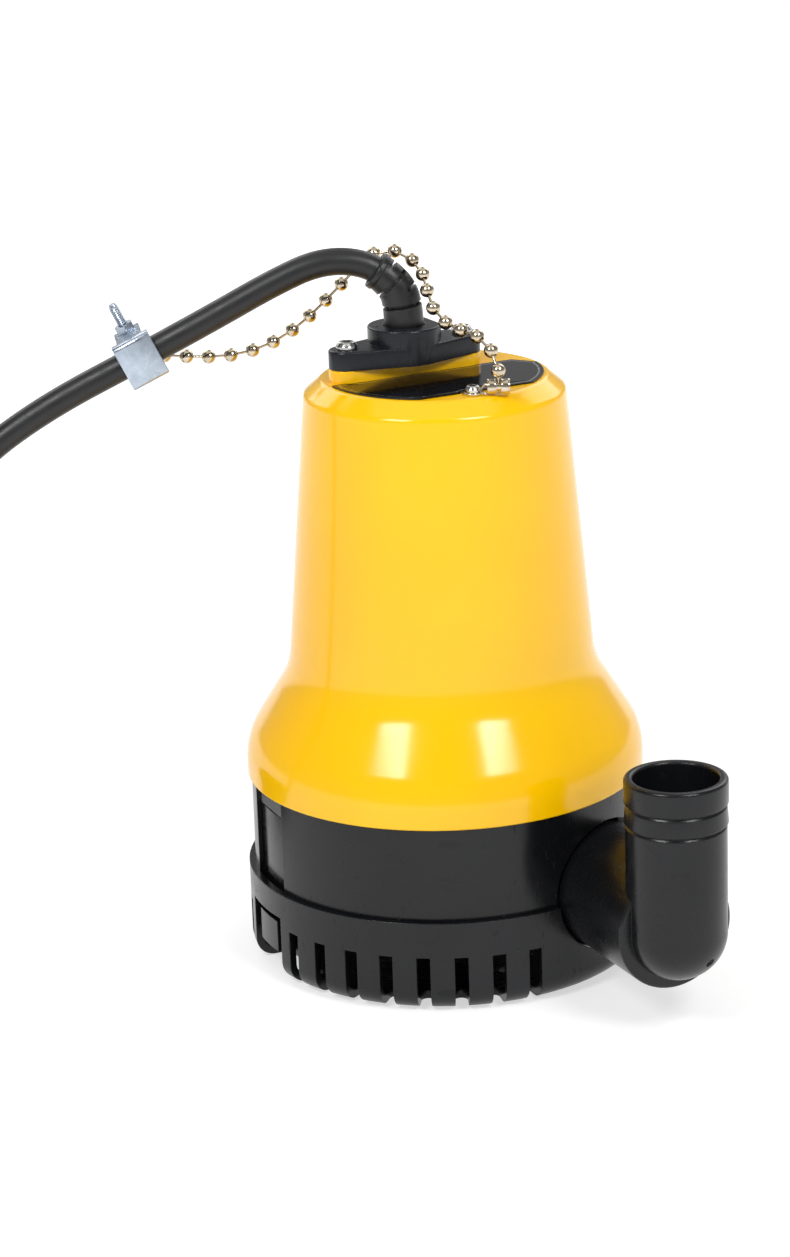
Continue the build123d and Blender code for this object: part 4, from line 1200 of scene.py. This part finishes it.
    def build_tie(self, name: str, azimuth: float) -> bpy.types.Object:
        """A loop strap wrapped once round the coil's section, with its end lapped on the outside."""
        inner, outer, low, mid, high = 28.3, 54.0, 0.75, 17.6, 24.2
        corners = [(inner, low), (outer, low), (outer, mid),
                   (49.2, high + 0.9), (32.4, high + 0.9), (inner, mid)]
        bands = []
        for grow in (0.0, 0.75):
            middle = Vector(((inner + outer) / 2, (low + high) / 2))
            line = []
            for x, y in corners:
                away = Vector((math.copysign(grow, x - middle.x), math.copysign(grow, y - middle.y)))
                line.append((x + away.x, y + away.y, 2.2 + grow))
            bands.append(prism("band", rounded(line, closed=True, step=15), -4.5, 4.5))
        strap = combine(bands[1], bands[0], Cut.REMOVE)
        lap = soften(box("lap", (outer + 0.7, 5, -4.5), (outer + 1.5, mid - 2, 4.5)), 0.3)
        strap = join(name, [strap, lap])
        stand = Matrix.Rotation(math.radians(90), 4, "X")
        settle(strap, upright(self.coil.x, self.coil.y, 0, azimuth) @ stand)
        return dress(shade(close_up(soften(strap, 0.12, 1, 60)), 35), LOOP_STRAP)


@dataclass
class CableClamp:
    """The bent zinc strap on the cable, with the screw behind the cable and its nut."""

    here: Vector
    along: Vector
    plate_len: float = 11.5
    tall: float = 14.0
    thick: float = 1.2
    front: float = 4.3
    leg: float = 11.0
    leg_w: float = 8.0
    screw_y: float = 8.0
    screw_r: float = 1.5
    screw_len: float = 23.0

    def place(self) -> Matrix:
        """Z along the cable, X upwards, Y to the back."""
        z = self.along.normalized()
        x = (ALONG_Z - z * z.z).normalized()
        y = z.cross(x)
        turn = Matrix((x, y, z)).transposed().to_4x4()
        return Matrix.Translation(self.here) @ turn

    def build_strap(self) -> bpy.types.Object:
        """Bend a flat strip into a U, narrow its legs and pierce them."""
        half, t = self.tall / 2, self.thick
        front = -self.front - t
        outer = [(half, self.leg, 0), (half, front, 1.4), (-half, front, 1.4), (-half, self.leg, 0)]
        inner = [(-half + t, self.leg, 0), (-half + t, front + t, 0.3),
                 (half - t, front + t, 0.3), (half - t, self.leg, 0)]
        outline = rounded(outer + inner, closed=True, step=15)
        strap = prism("strap", outline, -self.plate_len / 2, self.plate_len / 2)
        for side in (-1, 1):
            edge = sorted((side * self.leg_w / 2, side * 10))
            combine(strap, box("waste", (-10, front + 3.6, edge[0]), (10, self.leg + 2, edge[1])), Cut.REMOVE)
        hole = rod("hole", self.screw_r + 0.2, 30, Vector((-15, self.screw_y, 0)), ALONG_X, 28)
        combine(strap, hole, Cut.REMOVE)
        return dress(shade(soften(strap, 0.22, 2, 40), 32), ZINC)

    def build_screw(self) -> bpy.types.Object:
        """A machine screw whose thread is a stack of turned grooves."""
        pitch, half = 0.6, self.tall / 2
        section: list[Point] = [(0, 2.0), (1.6, 2.0), (2.4, 1.7), (2.9, 0.9), (2.9, 0.0), (self.screw_r, 0.0)]
        z = -1.0
        while z > -self.screw_len + 1:
            section += [(self.screw_r, z), (self.screw_r - 0.22, z - pitch / 2)]
            z -= pitch
        section += [(self.screw_r - 0.1, z), (self.screw_r - 0.5, -self.screw_len), (0, -self.screw_len)]
        screw = lathe("clamp_bolt", section, 28)
        combine(screw, box("slot", (-3.5, -0.4, 1.1), (3.5, 0.4, 3)), Cut.REMOVE)
        turn = Matrix.Rotation(math.radians(-90), 4, "Y")
        seat = Matrix.Translation(Vector((-half, self.screw_y, 0)) * MM)
        return dress(shade(settle(screw, seat @ turn), 40), ZINC)

    def build_nut(self) -> bpy.types.Object:
        """A hexagon nut with turned-off corners."""
        deselect_all()
        bpy.ops.mesh.primitive_cylinder_add(vertices=6, radius=3.0 * MM, depth=2.3 * MM)
        nut = settle(bpy.context.object, upright(0, 0, 1.15))
        cone = lathe("cone", [(0, -0.5), (3.4, -0.5), (3.4, 1.7), (2.5, 2.35), (0, 2.35)], 36)
        combine(nut, cone, Cut.KEEP)
        combine(nut, rod("bore", self.screw_r, 8, Vector((0, 0, -2)), ALONG_Z, 28), Cut.REMOVE)
        nut.name = "clamp_hex_nut"
        turn = Matrix.Rotation(math.radians(90), 4, "Y")
        seat = Matrix.Translation(Vector((self.tall / 2, self.screw_y, 0)) * MM)
        return dress(shade(settle(nut, seat @ turn), 30), ZINC)

    def build(self) -> list[bpy.types.Object]:
        """Make and place the clamp's three pieces."""
        pieces = []
        for piece, name, node in ((self.build_strap(), "clamp_strap", "cable_clamp"),
                                  (self.build_screw(), "clamp_bolt", "clamp_screw"),
                                  (self.build_nut(), "clamp_hex_nut", "clamp_nut")):
            piece.name = name
            settle(piece, self.place())
            pieces.append(stand_for(piece, "pump", "clamp_zinc", node))
        return pieces


@dataclass
class CadDress:
    """Finishes for the CAD nodes whose own shape stays."""

    finishes: dict[str, Finish] = field(default_factory=lambda: {
        "strainer_base": STRAINER_ABS, "volute_casing": BLACK_ABS, "release_tab_left": BLACK_ABS,
        "release_tab_right": BLACK_ABS, "inlet_cover": BLACK_ABS, "inlet_cover_screws": STAINLESS,
        "casing_screws": STAINLESS, "bulkhead": BLACK_ABS, "outlet_seal": NITRILE, "bulkhead_seal": NITRILE,
        "shaft_seal": NITRILE, "gland_seal": NITRILE, "cable_bush": NITRILE, "cable_inner_end": RUBBER_JACKET,
        "motor_can": DRAWN_STEEL, "motor_end_plate": DRAWN_STEEL, "lower_bearing": BRONZE,
        "upper_bearing": BRONZE, "magnets": FERRITE, "brush_plate": PHENOLIC, "brushes": CARBON,
        "lead_wires": RED_PVC, "motor_shaft": GROUND_STEEL, "armature_core": LAMINATIONS,
        "armature_windings": ENAMELLED_COPPER, "commutator": COPPER, "impeller": FILLED_NYLON,
        "impeller_nut": STAINLESS})

    def build(self) -> None:
        """Assign each node its finish."""
        for node, finish in self.finishes.items():
            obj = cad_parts[node]
            obj.data.materials.clear()
            obj.data.materials.append(finish.material())


@dataclass
class Studio:
    """Pale floor, two softboxes in front, a white room, and the camera."""

    camera_at: Vector = field(default_factory=lambda: Vector((-0.0026, -0.96909, 0.40413)))
    pitch: float = 17.11
    roll: float = 1.71
    closer: float = 1.42
    base_lens: float = 68.73
    shift: tuple[float, float] = (-0.0207, -0.0143)

    def build_camera(self) -> None:
        """A long lens level with the housing, looking down at the pump."""
        data = bpy.data.cameras.new("camera")
        data.lens = self.base_lens * self.closer
        data.sensor_width = 36.0
        data.shift_x = self.shift[0] * self.closer
        data.shift_y = self.shift[1] * self.closer
        camera = bpy.data.objects.new("camera", data)
        e, r = math.radians(self.pitch), math.radians(self.roll)
        right, up = ALONG_X, Vector((0, math.sin(e), math.cos(e)))
        back = Vector((0, -math.cos(e), math.sin(e)))
        side = right * math.cos(r) - up * math.sin(r)
        top = right * math.sin(r) + up * math.cos(r)
        turn = Matrix((side, top, back)).transposed().to_4x4()
        camera.matrix_world = Matrix.Translation(self.camera_at) @ turn
        bpy.context.scene.collection.objects.link(camera)
        bpy.context.scene.camera = camera

    def add_softbox(self, name: str, azimuth: float, elevation: float, away: float, size: tuple[float, float],
                    watts: float) -> None:
        """A rectangular light aimed at the pump's middle.

        Args:
            name: The light's name.
            azimuth: Degrees from the front, positive to the right.
            elevation: Degrees above the horizon.
            away: Distance in metres.
            size: Width and height in metres.
            watts: Its power.
        """
        data = bpy.data.lights.new(name, "AREA")
        data.shape = "RECTANGLE"
        data.size, data.size_y = size
        data.energy = watts
        lamp = bpy.data.objects.new(name, data)
        a, e = math.radians(azimuth), math.radians(elevation)
        way = Vector((math.sin(a) * math.cos(e), -math.cos(a) * math.cos(e), math.sin(e)))
        aim = Vector((0, 0, 0.1))
        lamp.matrix_world = Matrix.Translation(aim + way * away) @ facing(way)
        bpy.context.scene.collection.objects.link(lamp)

    def build_floor(self) -> None:
        """A pale seamless sheet, with some light of its own so that it stays even."""
        deselect_all()
        bpy.ops.mesh.primitive_plane_add(size=14.0, location=(0, 0, -0.0003))
        floor = bpy.context.object
        floor.name = "studio_floor"
        material = bpy.data.materials.new("white_paper_sweep")
        material.use_nodes = True
        tree = material.node_tree
        shader = tree.nodes["Principled BSDF"]
        place = (add_node(tree, "ShaderNodeTexCoord"), "Object")
        away = add_node(tree, "ShaderNodeVectorMath", {0: place}, operation="LENGTH")
        own_light = add_node(tree, "ShaderNodeMapRange", {
            0: (away, "Value"), "From Min": 0.25, "From Max": 1.2, "To Min": 0.6, "To Max": 0.85})
        tree.links.new(own_light.outputs[0], shader.inputs["Emission Strength"])
        shader.inputs["Base Color"].default_value = linear("#C4C4C4")
        shader.inputs["Roughness"].default_value = 0.9
        shader.inputs["Specular IOR Level"].default_value = 0.1
        shader.inputs["Emission Color"].default_value = linear("#FFFFFF")
        floor.data.materials.append(material)

    def build_world(self) -> None:
        """White walls that fade to a dimmer ceiling."""
        world = bpy.data.worlds.new("studio_room")
        world.use_nodes = True
        tree = world.node_tree
        place = add_node(tree, "ShaderNodeTexCoord")
        split = add_node(tree, "ShaderNodeSeparateXYZ", {0: (place, "Generated")})
        walls = [(0.0, linear("#E0E0E0")), (0.25, linear("#D0D0D0")), (0.8, linear("#8A8A8A"))]
        fade = ramp(tree, (split, 2), walls)
        tree.links.new(fade.outputs[0], tree.nodes["Background"].inputs[0])
        tree.nodes["Background"].inputs[1].default_value = 0.5
        bpy.context.scene.world = world

    def build(self) -> None:
        """Set up the studio."""
        bpy.context.scene.view_settings.view_transform = "Standard"
        self.build_camera()
        self.build_floor()
        self.build_world()
        self.add_softbox("softbox_left", -38, 44, 1.0, (0.3, 0.27), 3.9)
        self.add_softbox("softbox_right", 38, 44, 1.0, (0.3, 0.27), 3.9)
        self.add_softbox("ceiling", 0, 88, 2.2, (2.4, 2.4), 12.0)
        self.add_softbox("back_left", -150, 35, 1.6, (1.0, 1.0), 6.0)
        self.add_softbox("back_right", 150, 35, 1.6, (1.0, 1.0), 6.0)


def build_cable(cable_plan: PowerCable, gland: CableGland) -> None:
    """The cable with its sleeve, clamp, ties and stripped cores."""
    cable = cable_plan.draw()
    line = cable_plan.line_of(cable)
    sleeve_line = [Vector((line[0].x, line[0].y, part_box("strain_relief")[0].z))] + line
    sleeve = gland.build(sleeve_line, cable_plan.sleeve_len)
    route, at = cable_plan.route(), cable_plan.clamp_point
    clamp = CableClamp(route[at], route[at + 1] - route[at - 1]).build()
    cable_plan.skin(cable)
    stand_for(cable, "pump", "cable_jacket", "power_cable", "cable_coil")
    ties = []
    for name, azimuth in cable_plan.ties:
        ties.append(cable_plan.build_tie(name, azimuth))
    straps = stand_for(join("coil_straps", ties), "pump", "tie_nylon", "coil_ties")
    red = stand_for(cable_plan.build_core("red_core", 1, RED_PVC), "pump", "core_red", "core_positive")
    black = cable_plan.build_core("black_core", -1, BLACK_PVC)
    stand_for(black, "pump", "core_black", "core_negative")


def main() -> None:
    """Build the pump's looks around the frame."""
    logging.basicConfig(level=logging.INFO, format="%(message)s")
    Studio().build()
    gland = GlandLayout()
    build_cable(PowerCable(), CableGland(gland))
    MotorHousing(gland).build()
    OutletElbow().build()
    BallChain().build()
    CadDress().build()
    deselect_all()


if __name__ == "__main__":
    main()
